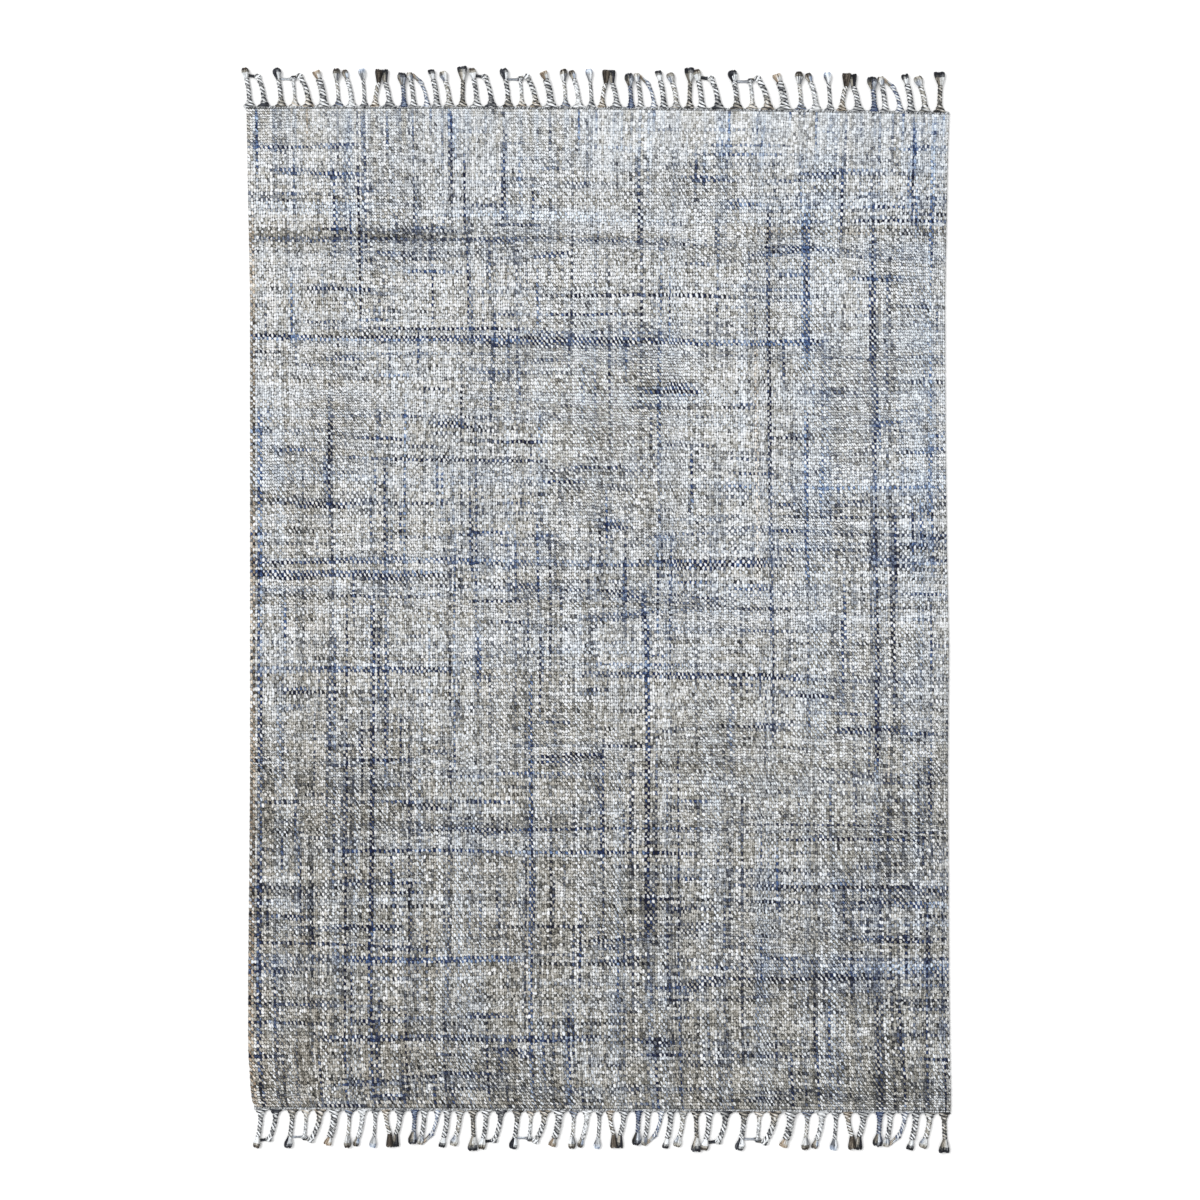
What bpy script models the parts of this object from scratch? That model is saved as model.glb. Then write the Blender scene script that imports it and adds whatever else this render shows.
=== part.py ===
"""Handwoven flat-weave rug with a knotted fringe along both ends, lying flat on the floor.

The warp runs along Y: the head of the rug is at +Y and its foot at -Y. Lengths are in metres,
and the tables, which are in millimetres, are multiplied by MM where they are read.
"""
from collections import namedtuple

import bmesh
import bpy
from mathutils import Vector

MM = 0.001

# The cloth, measured from header edge to header edge and from selvedge to selvedge
RUG_WIDTH = 1600.0 * MM
RUG_LENGTH = 2300.0 * MM
CLOTH_THICKNESS = 8.0 * MM
RIM_ROUND = 2.5 * MM
RIM_STEPS = 2

# The header, a narrow twined band that the fringe grows from
HEADER_DEPTH = 7.0 * MM
HEADER_THICKNESS = 7.0 * MM
PARTING = 0.3 * MM

# The fringe cords
ROOT_FLARE = 9.0 * MM
ROOT_SHARE = 0.82
FLARE_REACH = 9.0 * MM
CORD_HEIGHT = 0.75
TUFT_HEIGHT = 0.6
TUFT_HEIGHT_LIMIT = 12.0 * MM
TOP_SHARE = 0.55

# How the two selvedges wander. along: distance from the rug's middle towards the head.
# left, right: how far that side stands out beyond the straight one.
SideRow = namedtuple("SideRow", "along left right")
SIDES = [
    SideRow(1147, 7.0, 3.5),
    SideRow(1055, 5.0, 0.0),
    SideRow(940, 3.0, -2.0),
    SideRow(825, 0.5, -4.5),
    SideRow(710, -1.5, -6.5),
    SideRow(424, -1.5, -5.5),
    SideRow(137, -1.5, -2.0),
    SideRow(-93, -1.5, 2.5),
    SideRow(-380, -1.5, 0.0),
    SideRow(-609, 0.5, 1.5),
    SideRow(-839, 3.0, 2.5),
    SideRow(-1011, 3.0, 5.0),
    SideRow(-1103, -3.0, 7.0),
    SideRow(-1126, -6.0, 7.0),
    SideRow(-1145, -13.0, 7.0),
]

# How the two ends wander. across: distance from the middle line, to the right.
# head, foot: how far that end stands out beyond the straight one.
EndRow = namedtuple("EndRow", "across head foot")
ENDS = [
    EndRow(-815, 5.5, -2.5),
    EndRow(-400, 5.5, 0.0),
    EndRow(0, 4.0, 1.5),
    EndRow(400, -1.0, 3.5),
    EndRow(815, -8.0, 6.0),
]

# One repeat of the fringe. root: where the cord leaves the header, from the repeat's start.
# shaft: the cord's width. tie, tip: where its binding and its cut end lie, as a lean to the
# right and a reach out from the header. tuft: the width of the cut end.
Cord = namedtuple("Cord", "root shaft tie_lean tie_reach tip_lean tip_reach tuft")
CORDS = [
    Cord(0.0, 11.5, -6.7, 61, -11.0, 87, 15.0),
    Cord(34.0, 11.5, -15.0, 66, -33.0, 71, 15.0),
    Cord(72.5, 11.5, -6.4, 61, -11.0, 85, 17.5),
    Cord(104.0, 8.0, -4.8, 61, -25.0, 67, 9.0),
    Cord(136.0, 12.5, -20.0, 67, -29.0, 70, 14.0),
    Cord(170.0, 15.5, -10.6, 60, -17.5, 79, 19.5),
    Cord(204.0, 7.5, -4.0, 50, -4.5, 83, 17.0),
    Cord(234.5, 11.5, -13.5, 53, -18.8, 80, 12.5),
    Cord(263.5, 7.5, -3.4, 61, -6.2, 83, 16.0),
    Cord(288.0, 9.0, 7.6, 41, 8.0, 78, 12.5),
    Cord(321.0, 10.5, -10.3, 41, -10.0, 82, 13.0),
    Cord(354.5, 10.5, -2.5, 48, -5.7, 74, 19.5),
    Cord(376.5, 10.5, -6.4, 57, -9.6, 75, 13.5),
    Cord(407.0, 8.0, -16.0, 55, -27.5, 66, 11.5),
    Cord(429.5, 13.0, -7.8, 57, -13.3, 80, 17.0),
    Cord(458.5, 11.0, -9.2, 55, -18.0, 78, 21.5),
    Cord(488.5, 10.0, 3.0, 57, -1.0, 87, 20.0),
]

# The three repeats along each end. start: where the repeat's first cord has its root.
# stretch: how much wider than the table it was knotted.
Repeat = namedtuple("Repeat", "start stretch")
End = namedtuple("End", "node outward column header_left header_right repeats")
FRINGES = [
    End("fringe_head", 1, "head", -812.0, 803.5,
        [Repeat(-801.0, 1.0), Repeat(-280.0, 1.0), Repeat(236.5, 1.117)]),
    End("fringe_foot", -1, "foot", -789.5, 806.5,
        [Repeat(-774.5, 0.995), Repeat(-258.0, 0.986), Repeat(254.0, 1.103)]),
]

# Stations along a cord: how far along it each lies, between the header and the binding or
# between the binding and the tip, and its width as a share of the shaft's or the tuft's.
SHAFT_STATIONS = [(0.42, 1.0), (0.74, 1.0), (1.0, 0.8)]
TUFT_STATIONS = [(0.22, 0.85), (0.65, 1.0), (1.0, 0.8)]
LEAN_EASE = 2.2

CLOTH_COLOUR = (0.352, 0.371, 0.381, 1.0)
HEAD_COLOUR = (0.402, 0.410, 0.402, 1.0)
FOOT_COLOUR = (0.330, 0.342, 0.345, 1.0)
CLOTH_ROUGHNESS = 0.92


def clear_scene():
    for old in list(bpy.data.objects):
        bpy.data.objects.remove(old, do_unlink=True)


def cloth_material(name, colour):
    material = bpy.data.materials.new(name)
    material.use_nodes = True
    shader = material.node_tree.nodes["Principled BSDF"]
    shader.inputs["Base Color"].default_value = colour
    shader.inputs["Roughness"].default_value = CLOTH_ROUGHNESS
    shader.inputs["Metallic"].default_value = 0.0
    return material


def add_object(name, bm, material, collection):
    mesh = bpy.data.meshes.new(name)
    bm.to_mesh(mesh)
    bm.free()
    mesh.materials.append(material)
    piece = bpy.data.objects.new(name, mesh)
    collection.objects.link(piece)
    return piece


def read_between(rows, position, column):
    """Value of one column at a position, along straight lines between the table's rows."""
    rows = sorted(rows)
    position = min(max(position, rows[0][0]), rows[-1][0])
    for low, high in zip(rows, rows[1:]):
        if position <= high[0]:
            share = (position - low[0]) / (high[0] - low[0])
            return getattr(low, column) + share * (getattr(high, column) - getattr(low, column))
    return getattr(rows[-1], column)


def end_line(x, outward, column):
    """Y of the header's outer edge at x."""
    return outward * (RUG_LENGTH / 2 + read_between(ENDS, x / MM, column) * MM)


def field_outline():
    """Corners of the cloth, once round it against the clock, seen from above."""
    inset = HEADER_DEPTH + PARTING
    half_width = RUG_WIDTH / 2
    foot_left = -half_width - SIDES[-1].left * MM
    foot_right = half_width + SIDES[-1].right * MM
    head_left = -half_width - SIDES[0].left * MM
    head_right = half_width + SIDES[0].right * MM
    inner_rows = [row.across * MM for row in ENDS[1:-1]]

    foot_xs = [foot_left] + inner_rows + [foot_right]
    head_xs = [head_right] + inner_rows[::-1] + [head_left]
    foot = [(x, end_line(x, -1, "foot") + inset) for x in foot_xs]
    head = [(x, end_line(x, 1, "head") - inset) for x in head_xs]
    right = [(half_width + row.right * MM, row.along * MM) for row in SIDES[1:-1]]
    left = [(-half_width - row.left * MM, row.along * MM) for row in SIDES[1:-1]]
    return foot + right[::-1] + head + left


def build_field(collection):
    """The woven cloth: its outline filled, thickened, and its rim rounded."""
    bm = bmesh.new()
    rim = [bm.verts.new((x, y, 0.0)) for x, y in field_outline()]
    bmesh.ops.contextual_create(bm, geom=rim)
    raised = bmesh.ops.extrude_face_region(bm, geom=bm.faces[:])
    top = [item for item in raised["geom"] if isinstance(item, bmesh.types.BMVert)]
    bmesh.ops.translate(bm, verts=top, vec=(0.0, 0.0, CLOTH_THICKNESS))
    bmesh.ops.recalc_face_normals(bm, faces=bm.faces)
    level_edges = [edge for edge in bm.edges if edge.verts[0].co.z == edge.verts[1].co.z]
    bmesh.ops.bevel(bm, geom=level_edges, offset=RIM_ROUND, segments=RIM_STEPS, profile=0.5,
                    affect="EDGES", clamp_overlap=True, material=-1)
    material = cloth_material("woven_yarn", CLOTH_COLOUR)
    return add_object("woven_field", bm, material, collection)


def root_places(end):
    """Each cord of one end with its root's x, its root's width and its repeat's stretch."""
    places = []
    for repeat in end.repeats:
        for cord in CORDS:
            x = (repeat.start + cord.root * repeat.stretch) * MM
            places.append((x, cord, repeat.stretch))
    widened = []
    for index, (x, cord, stretch) in enumerate(places):
        near = [abs(x - other[0]) for other in places[max(index - 1, 0):index + 2] if other[0] != x]
        root_width = min(cord.shaft * stretch * MM + ROOT_FLARE, ROOT_SHARE * min(near))
        widened.append((x, root_width, cord, stretch))
    return widened


def build_header(bm, end, places):
    """A slice of the band at its left end, pushed to the right from root edge to root edge."""
    stops = [end.header_left * MM]
    for x, root_width, _, _ in places:
        stops += [x - root_width / 2, x + root_width / 2]
    stops.append(end.header_right * MM)

    outer = end_line(stops[0], end.outward, end.column)
    inner = outer - end.outward * HEADER_DEPTH
    corners = [(outer, 0.0), (outer, HEADER_THICKNESS), (inner, HEADER_THICKNESS), (inner, 0.0)]
    slice_corners = [bm.verts.new((stops[0], y, z)) for y, z in corners]
    first_slice = bmesh.ops.contextual_create(bm, geom=slice_corners)["faces"][0]
    pushed = bmesh.ops.extrude_face_region(bm, geom=[first_slice], use_keep_orig=True)
    face = [item for item in pushed["geom"] if isinstance(item, bmesh.types.BMFace)][0]
    for before, after in zip(stops, stops[1:]):
        if before != stops[0]:
            face = bmesh.ops.extrude_discrete_faces(bm, faces=[face])["faces"][0]
        rise = (end_line(after, end.outward, end.column)
                - end_line(before, end.outward, end.column))
        bmesh.ops.translate(bm, verts=face.verts, vec=(after - before, rise, 0.0))
    bmesh.ops.recalc_face_normals(bm, faces=bm.faces)


def cord_stations(cord, root_width, stretch):
    """Lean, reach, width and height of a cord at each place where its form changes."""
    shaft = cord.shaft * stretch * MM
    tuft = cord.tuft * stretch * MM
    tuft_height = min(TUFT_HEIGHT * tuft, TUFT_HEIGHT_LIMIT)
    tie = Vector((cord.tie_lean * stretch, cord.tie_reach)) * MM
    tip = Vector((cord.tip_lean * stretch, cord.tip_reach)) * MM

    flared = shaft + 0.25 * (root_width - shaft)
    flare_lean = tie.x * (FLARE_REACH / tie.y) ** LEAN_EASE
    stations = [(flare_lean, FLARE_REACH, flared, CORD_HEIGHT * shaft)]
    for share, width in SHAFT_STATIONS:
        lean = tie.x * share ** LEAN_EASE
        stations.append((lean, tie.y * share, shaft * width, CORD_HEIGHT * shaft * width))
    for share, width in TUFT_STATIONS:
        place = tie.lerp(tip, share)
        stations.append((place.x, place.y, tuft * width, tuft_height * width))
    return stations


def draw_cord(bm, root_face, root_x, outward, stations):
    """One cord, drawn out of its root on the header station by station, flat on the floor."""
    root = Vector((root_x, root_face.calc_center_median().y, 0.0))
    middle_height = root_face.calc_center_median().z
    corners = [(-1 if v.co.x < root_x else 1, v.co.z > middle_height) for v in root_face.verts]
    points = [root + Vector((lean, outward * reach, 0.0)) for lean, reach, _, _ in stations]
    face = root_face
    before = root
    for index, (_, _, width, height) in enumerate(stations):
        point = points[index]
        after = points[index + 1] if index + 1 < len(points) else point
        heading = (after - before).normalized()
        across = Vector((heading.y, -heading.x, 0.0)) * outward
        face = bmesh.ops.extrude_discrete_faces(bm, faces=[face])["faces"][0]
        for corner, (side, is_top) in zip(face.verts, corners):
            half = width / 2 * (TOP_SHARE if is_top else 1.0)
            corner.co = point + across * side * half
            corner.co.z = height if is_top else 0.0
        before = point


def build_fringe(end, colour, collection):
    """The header band of one end with all its cords, in one solid."""
    places = root_places(end)
    bm = bmesh.new()
    build_header(bm, end, places)
    band_faces = bm.faces[:]
    for x, root_width, cord, stretch in places:
        middle = Vector((x, end_line(x, end.outward, end.column), HEADER_THICKNESS / 2))
        root_face = min(band_faces, key=lambda f: (f.calc_center_median() - middle).length)
        band_faces.remove(root_face)
        draw_cord(bm, root_face, x, end.outward, cord_stations(cord, root_width, stretch))
    bmesh.ops.recalc_face_normals(bm, faces=bm.faces)
    material = cloth_material(end.node + "_yarn", colour)
    return add_object(end.node, bm, material, collection)


def centre_on_origin(pieces):
    """Slides the whole rug so that the middle of its box is over the origin."""
    corners = [corner.co for piece in pieces for corner in piece.data.vertices]
    middle_x = (min(c.x for c in corners) + max(c.x for c in corners)) / 2
    middle_y = (min(c.y for c in corners) + max(c.y for c in corners)) / 2
    for piece in pieces:
        for corner in piece.data.vertices:
            corner.co.x -= middle_x
            corner.co.y -= middle_y
    print("slid by", round(-middle_x / MM, 3), round(-middle_y / MM, 3), "mm")


clear_scene()
rug = bpy.data.collections.new("handwoven_rug")
bpy.context.scene.collection.children.link(rug)
pieces = [build_field(rug)]
for end, colour in zip(FRINGES, (HEAD_COLOUR, FOOT_COLOUR)):
    pieces.append(build_fringe(end, colour, rug))
centre_on_origin(pieces)
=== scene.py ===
# %% [markdown]
# # A handwoven rug, lying flat
#
# This lesson dresses the plain solids of a flat-woven rug: one cloth about 1.6 by 2.3 metres,
# with a row of twisted, tied cords along each end. The frame gives the solids, and every
# piece made here lies where its solid lies. Each step below says what the piece is on the
# real rug, how it could be made in Blender, and why it is made this way.

import math
from collections import namedtuple

import bmesh
import bpy
import numpy as np
from mathutils import Matrix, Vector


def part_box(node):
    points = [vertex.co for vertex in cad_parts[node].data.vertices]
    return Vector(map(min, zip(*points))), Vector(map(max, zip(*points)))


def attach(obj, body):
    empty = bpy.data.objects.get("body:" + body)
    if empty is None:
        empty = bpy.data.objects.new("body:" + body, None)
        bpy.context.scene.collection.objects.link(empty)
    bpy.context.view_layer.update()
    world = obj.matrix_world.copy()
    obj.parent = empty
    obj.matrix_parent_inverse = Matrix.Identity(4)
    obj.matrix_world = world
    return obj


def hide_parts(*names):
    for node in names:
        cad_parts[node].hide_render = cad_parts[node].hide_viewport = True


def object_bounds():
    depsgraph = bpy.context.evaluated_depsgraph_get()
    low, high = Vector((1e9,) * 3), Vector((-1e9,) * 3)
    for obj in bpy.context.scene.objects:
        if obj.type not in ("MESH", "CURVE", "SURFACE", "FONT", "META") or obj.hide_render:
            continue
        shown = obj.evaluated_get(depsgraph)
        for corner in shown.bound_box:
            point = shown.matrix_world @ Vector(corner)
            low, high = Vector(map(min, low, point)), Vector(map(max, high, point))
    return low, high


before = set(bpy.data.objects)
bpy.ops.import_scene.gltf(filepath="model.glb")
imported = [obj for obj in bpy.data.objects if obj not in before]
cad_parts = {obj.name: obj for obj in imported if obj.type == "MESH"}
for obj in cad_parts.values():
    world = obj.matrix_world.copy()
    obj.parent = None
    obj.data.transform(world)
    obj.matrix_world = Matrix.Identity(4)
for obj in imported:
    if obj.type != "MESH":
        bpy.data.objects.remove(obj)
cad_low, cad_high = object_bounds()
field_low, field_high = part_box("woven_field")
MM = 0.001
box_mm = [round(size / MM) for size in cad_high - cad_low]
print("solids:", sorted(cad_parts), "box:", box_mm, "mm")

# %% [markdown]
# ## The rug's own measures
#
# Two tables hold how the sides and the ends wander, because a rug beaten up by hand is never
# a true rectangle. They are read with numpy's interp, which draws straight lines between the
# rows. The cloth has 308 warp ends across and 322 picks of weft along, so one crossing is
# about 5.2 by 7.1 mm, and everything on the cloth is placed by counting yarns.

# %% Sizes and outline tables
RUG_WIDTH = 1600.0 * MM
RUG_LENGTH = 2300.0 * MM
HEADER_DEPTH = 7.0 * MM
PARTING = 0.3 * MM
WARPS = 308
PICKS = 322

SideRow = namedtuple("SideRow", "along left right")
SIDES = [
    SideRow(-1145, -13.0, 7.0),
    SideRow(-1126, -6.0, 7.0),
    SideRow(-1103, -3.0, 7.0),
    SideRow(-1011, 3.0, 5.0),
    SideRow(-839, 3.0, 2.5),
    SideRow(-609, 0.5, 1.5),
    SideRow(-380, -1.5, 0.0),
    SideRow(-93, -1.5, 2.5),
    SideRow(137, -1.5, -2.0),
    SideRow(424, -1.5, -5.5),
    SideRow(710, -1.5, -6.5),
    SideRow(825, 0.5, -4.5),
    SideRow(940, 3.0, -2.0),
    SideRow(1055, 5.0, 0.0),
    SideRow(1147, 7.0, 3.5),
]

EndRow = namedtuple("EndRow", "across head foot")
ENDS = [
    EndRow(-815, 5.5, -2.5),
    EndRow(-400, 5.5, 0.0),
    EndRow(0, 4.0, 1.5),
    EndRow(400, -1.0, 3.5),
    EndRow(815, -8.0, 6.0),
]


def from_table(rows, column, position):
    """One column of a table at a position in metres, in metres."""
    places = [row[0] * MM for row in rows]
    values = [getattr(row, column) * MM for row in rows]
    return np.interp(position, places, values)


def left_side(y):
    return -RUG_WIDTH / 2 - from_table(SIDES, "left", y)


def right_side(y):
    return RUG_WIDTH / 2 + from_table(SIDES, "right", y)


def head_line(x):
    return RUG_LENGTH / 2 + from_table(ENDS, "head", x)


def foot_line(x):
    return -RUG_LENGTH / 2 - from_table(ENDS, "foot", x)


# The frame's origin lies under the middle of the whole rug, fringe included, so the tables
# are slid until they meet the cloth's own solid.
SLIDE_X = field_low.x - (-RUG_WIDTH / 2 - max(row.left for row in SIDES) * MM)
SLIDE_Y = field_high.y - (RUG_LENGTH / 2 + max(row.head for row in ENDS) * MM
                          - HEADER_DEPTH - PARTING)
print("slide", round(SLIDE_X / MM, 2), round(SLIDE_Y / MM, 2), "mm")

# %% [markdown]
# ## Floor, light and camera
#
# The rug is shown straight from above on white, so the camera looks down and its frame is
# 2.755 m wide. The rug is flat and square to the lens, so an ordinary perspective camera,
# far enough away, draws it true. A broad sky and one soft sun from the upper left keep the
# relief of the weave readable without a hard shadow.

# %% Floor, light and camera
PICTURE_WIDTH = 2754.7 * MM
PICTURE_RIGHT = 3.2 * MM
PICTURE_UP = 21.8 * MM
LENS = 85.0
SENSOR = 36.0
SKY_STRENGTH = 0.88
SUN_STRENGTH = 1.75
SUN_SOFTNESS = math.radians(35)
SUN_TILT = (math.radians(-20), math.radians(-34), 0.0)
FLOOR_SIZE = 14.0
FLOOR_DROP = 0.4 * MM
FLOOR_WHITE = 247
FLOOR_ROUGHNESS = 0.9
FLOOR_SHINE = 0.1


def linear(r, g, b):
    """A colour given as it looks on a screen, 0 to 255, as the linear numbers nodes use."""
    def channel(value):
        value /= 255
        return value / 12.92 if value <= 0.04045 else ((value + 0.055) / 1.055) ** 2.4
    return (channel(r), channel(g), channel(b), 1.0)


def shader_material(name, roughness):
    """A new material, with its node tree and its Principled shader."""
    material = bpy.data.materials.new(name)
    material.use_nodes = True
    shader = material.node_tree.nodes["Principled BSDF"]
    shader.inputs["Roughness"].default_value = roughness
    return material, material.node_tree, shader


def mesh_piece(name, bm, material):
    """Turns a bmesh into an object at the origin."""
    mesh = bpy.data.meshes.new(name)
    bm.to_mesh(mesh)
    bm.free()
    mesh.materials.append(material)
    piece = bpy.data.objects.new(name, mesh)
    bpy.context.scene.collection.objects.link(piece)
    return piece


def lay_floor():
    material, tree, shader = shader_material("floor_white", FLOOR_ROUGHNESS)
    shader.inputs["Base Color"].default_value = linear(FLOOR_WHITE, FLOOR_WHITE, FLOOR_WHITE)
    shader.inputs["Specular IOR Level"].default_value = FLOOR_SHINE
    bm = bmesh.new()
    bmesh.ops.create_grid(bm, x_segments=1, y_segments=1, size=FLOOR_SIZE / 2)
    bmesh.ops.translate(bm, verts=bm.verts, vec=(0, 0, -FLOOR_DROP))
    floor = mesh_piece("floor", bm, material)


def light_and_camera():
    world = bpy.data.worlds.new("soft_sky")
    bpy.context.scene.world = world
    world.use_nodes = True
    sky = world.node_tree.nodes["Background"]
    sky.inputs["Color"].default_value = (1.0, 1.0, 1.0, 1.0)
    sky.inputs["Strength"].default_value = SKY_STRENGTH

    sun_data = bpy.data.lights.new("soft_sun", "SUN")
    sun_data.energy = SUN_STRENGTH
    sun_data.angle = SUN_SOFTNESS
    sun = bpy.data.objects.new("soft_sun", sun_data)
    sun.rotation_euler = SUN_TILT
    bpy.context.scene.collection.objects.link(sun)

    camera_data = bpy.data.cameras.new("camera")
    camera_data.lens = LENS
    camera_data.sensor_width = SENSOR
    camera = bpy.data.objects.new("camera", camera_data)
    distance = PICTURE_WIDTH * LENS / SENSOR
    camera.location = (SLIDE_X + PICTURE_RIGHT, SLIDE_Y + PICTURE_UP, distance)
    bpy.context.scene.collection.objects.link(camera)
    bpy.context.scene.camera = camera
    bpy.context.scene.view_settings.view_transform = "Standard"
    bpy.context.scene.view_settings.look = "None"
    print("camera", round(distance, 2), "m above the floor")


lay_floor()
light_and_camera()

# %% [markdown]
# ## Dyeing the yarns
#
# The rug's look comes from yarns whose colour changes slowly along their length, so every
# yarn draws a streak: warp yarns up and down, weft yarns from side to side. One way is a
# noise texture stretched both ways. Here each yarn is dyed by itself instead: random
# numbers, one for each crossing, are smoothed along the yarn at a few lengths and added.
# A chart then adds the streaks that stand out on this rug. Tone is how light the
# yarn is, and blue is how far it leans from a warm grey towards indigo.

# %% Chart of the streaks that stand out
# place: distance from the middle, across for warp and along for weft. start, stop: where
# the streak begins and ends on its yarn. All three are in millimetres.
Streak = namedtuple("Streak", "place start stop yarns tone blue")
WEFT_STREAKS = [
    Streak(922, -800, -515, 4, 0.17, 0.35),
    Streak(917, -420, 0, 2, 0.15, 0.30),
    Streak(880, 340, 800, 3, -0.10, -0.15),
    Streak(848, -800, 240, 2, -0.12, 0.20),
    Streak(763, -200, 100, 2, 0.17, 0.00),
    Streak(722, -70, 520, 1, -0.20, 0.10),
    Streak(649, -510, -160, 1, -0.20, 0.25),
    Streak(619, -800, 515, 2, -0.22, 0.40),
    Streak(339, -590, -115, 1, -0.18, 0.20),
    Streak(281, 465, 800, 1, -0.17, 0.40),
    Streak(104, -800, 410, 2, -0.17, 0.35),
    Streak(81, -800, -360, 2, -0.18, 0.35),
    Streak(-141, -800, -320, 2, -0.17, 0.30),
    Streak(-157, -65, 480, 2, -0.17, 0.20),
    Streak(-449, -800, -245, 1, -0.18, 0.20),
    Streak(-500, 240, 670, 1, -0.16, 0.10),
    Streak(-513, -370, 240, 1, -0.18, 0.40),
    Streak(-536, 435, 720, 1, -0.19, 0.45),
    Streak(-540, -465, 275, 1, 0.17, -0.10),
    Streak(-566, -595, 220, 1, -0.20, 0.35),
    Streak(-782, -800, -420, 1, -0.18, 0.30),
    Streak(-814, -580, -180, 2, -0.17, 0.45),
    Streak(-851, 230, 665, 1, -0.20, 0.25),
    Streak(-993, -640, 10, 2, -0.18, 0.35),
]
WARP_STREAKS = [
    Streak(-797, -1150, 915, 2, -0.06, -0.40),
    Streak(-660, 1085, 1150, 1, -0.10, -0.45),
    Streak(-780, -1150, 445, 2, -0.20, 0.35),
    Streak(-628, -1150, -490, 3, 0.14, 0.00),
    Streak(-605, -660, -50, 1, -0.20, 0.20),
    Streak(-580, -1150, -45, 1, -0.20, 0.20),
    Streak(-529, 805, 1150, 2, -0.18, 0.20),
    Streak(-522, -1150, 5, 2, -0.17, 0.20),
    Streak(-486, -410, 330, 2, -0.18, 0.25),
    Streak(-463, -975, -510, 2, 0.17, -0.20),
    Streak(-442, 85, 465, 1, -0.25, 0.50),
    Streak(-330, -385, 185, 1, -0.19, 0.25),
    Streak(-293, -400, -30, 3, 0.16, 0.00),
    Streak(-153, -1150, -150, 2, -0.18, 0.50),
    Streak(-73, -1150, -915, 3, -0.17, 0.25),
    Streak(-54, -925, 500, 2, 0.17, -0.10),
    Streak(3, -595, -310, 2, -0.18, 0.35),
    Streak(109, -750, -15, 2, -0.19, 0.40),
    Streak(141, 70, 920, 2, -0.17, 0.15),
    Streak(182, -1150, -320, 1, -0.20, 0.35),
    Streak(201, 350, 1065, 2, 0.18, 0.00),
    Streak(325, -1050, -415, 1, -0.16, 0.10),
    Streak(366, -125, 630, 2, 0.16, -0.30),
    Streak(400, -320, 935, 2, -0.17, 0.15),
    Streak(481, 80, 445, 2, -0.18, 0.65),
    Streak(483, 565, 925, 4, -0.15, 0.70),
    Streak(632, -365, 870, 2, -0.17, 0.10),
    Streak(641, -1150, -460, 3, -0.16, 0.00),
    Streak(650, 305, 1045, 1, 0.18, 0.00),
    Streak(662, -400, 205, 1, 0.18, -0.30),
    Streak(745, -1150, -675, 1, -0.20, 0.25),
    Streak(763, 70, 1150, 2, -0.19, 0.30),
    Streak(-755, -400, 500, 8, 0.03, 0.12),
    Streak(490, -300, 1050, 14, 0.02, 0.18),
    Streak(715, -500, 1100, 12, 0.02, 0.12),
]

# Old folds: painted shade darkens every yarn along each fold's crease, warp and weft alike.
# reach: half their width.
FoldShade = namedtuple("FoldShade", "place start stop reach tone blue")
FOLD_SHADES = [
    FoldShade(857, -800, -350, 21, -0.25, -0.06),
    FoldShade(854, -350, 200, 16, -0.12, -0.05),
    FoldShade(884, 300, 800, 14, -0.08, -0.05),
]
print(len(WARP_STREAKS) + len(WEFT_STREAKS), "streaks and", len(FOLD_SHADES), "folds")

# %% [markdown]
# ## Random dye in layers
#
# A layer of dye starts as noise, one random number for each crossing. Blurred along the
# yarn it gives stretches of one shade, and blurred a little sideways it is shared by
# neighbouring yarns, as yarns from one skein do. The blur keeps the spread of the numbers,
# so a layer's spread says how much it shows. Warp and weft have layers of their own.

# %% Layers of random dye
# spread: how strong. reach: how many crossings it keeps along the yarn. side: how many
# neighbouring yarns share it.
DyeLayer = namedtuple("DyeLayer", "spread reach side")
WARP_TONE = [
    DyeLayer(0.062, 60, 0.3),
    DyeLayer(0.075, 15, 0.6),
    DyeLayer(0.050, 5, 0.4),
    DyeLayer(0.024, 45, 3.0),
]
WEFT_TONE = [
    DyeLayer(0.050, 60, 0.3),
    DyeLayer(0.060, 15, 0.5),
    DyeLayer(0.050, 5, 0.4),
    DyeLayer(0.024, 45, 3.0),
]
BLUE_LAYERS = [
    DyeLayer(0.60, 50, 0.8),
    DyeLayer(0.65, 12, 0.6),
    DyeLayer(0.50, 45, 3.0),
]
WARP_AXIS = 1
WEFT_AXIS = 0
COUNTS = (WARPS, PICKS)
SPANS = (RUG_WIDTH, RUG_LENGTH)
BLUR_REACHES = 3


def smoothed(values, reach, axis):
    """Blurs random numbers along one axis and keeps their spread."""
    half = int(reach * BLUR_REACHES) + 1
    kernel = np.exp(-0.5 * (np.arange(-half, half + 1) / reach) ** 2)
    kernel /= np.sqrt((kernel ** 2).sum())
    padding = [(0, 0), (0, 0)]
    padding[axis] = (half, half)
    wide = np.pad(values, padding, mode="wrap")
    return np.apply_along_axis(lambda line: np.convolve(line, kernel, "valid"), axis, wide)


def random_dye(rng, layers, axis):
    """One number for each crossing, for yarns that run along an axis."""
    total = np.zeros(COUNTS)
    for layer in layers:
        noise = rng.standard_normal(COUNTS)
        noise = smoothed(noise, layer.reach, axis)
        total += layer.spread * smoothed(noise, layer.side, 1 - axis)
    return total


print(len(WARP_TONE), "layers of tone for the warp,", len(WEFT_TONE), "for the weft")

# %% [markdown]
# ## Dashes, streaks and folds
#
# Three more kinds of mark lie on top. Dashes are short indigo stretches, where a yarn took
# more dye: they are the peaks of one more blurred noise. Streaks come from the chart, and
# each one fades in and out along its own few yarns. Folds are painted shade: a narrow strip
# of the cloth is darkened along each fold, whichever yarn is on top there.

# %% Dashes, streaks and folds
STREAK_FADE = 60.0 * MM
STREAK_STRENGTH = 1.4
DASH_REACH = 8
DASH_SIDE = 0.6
DASH_FROM = 1.0


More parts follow.
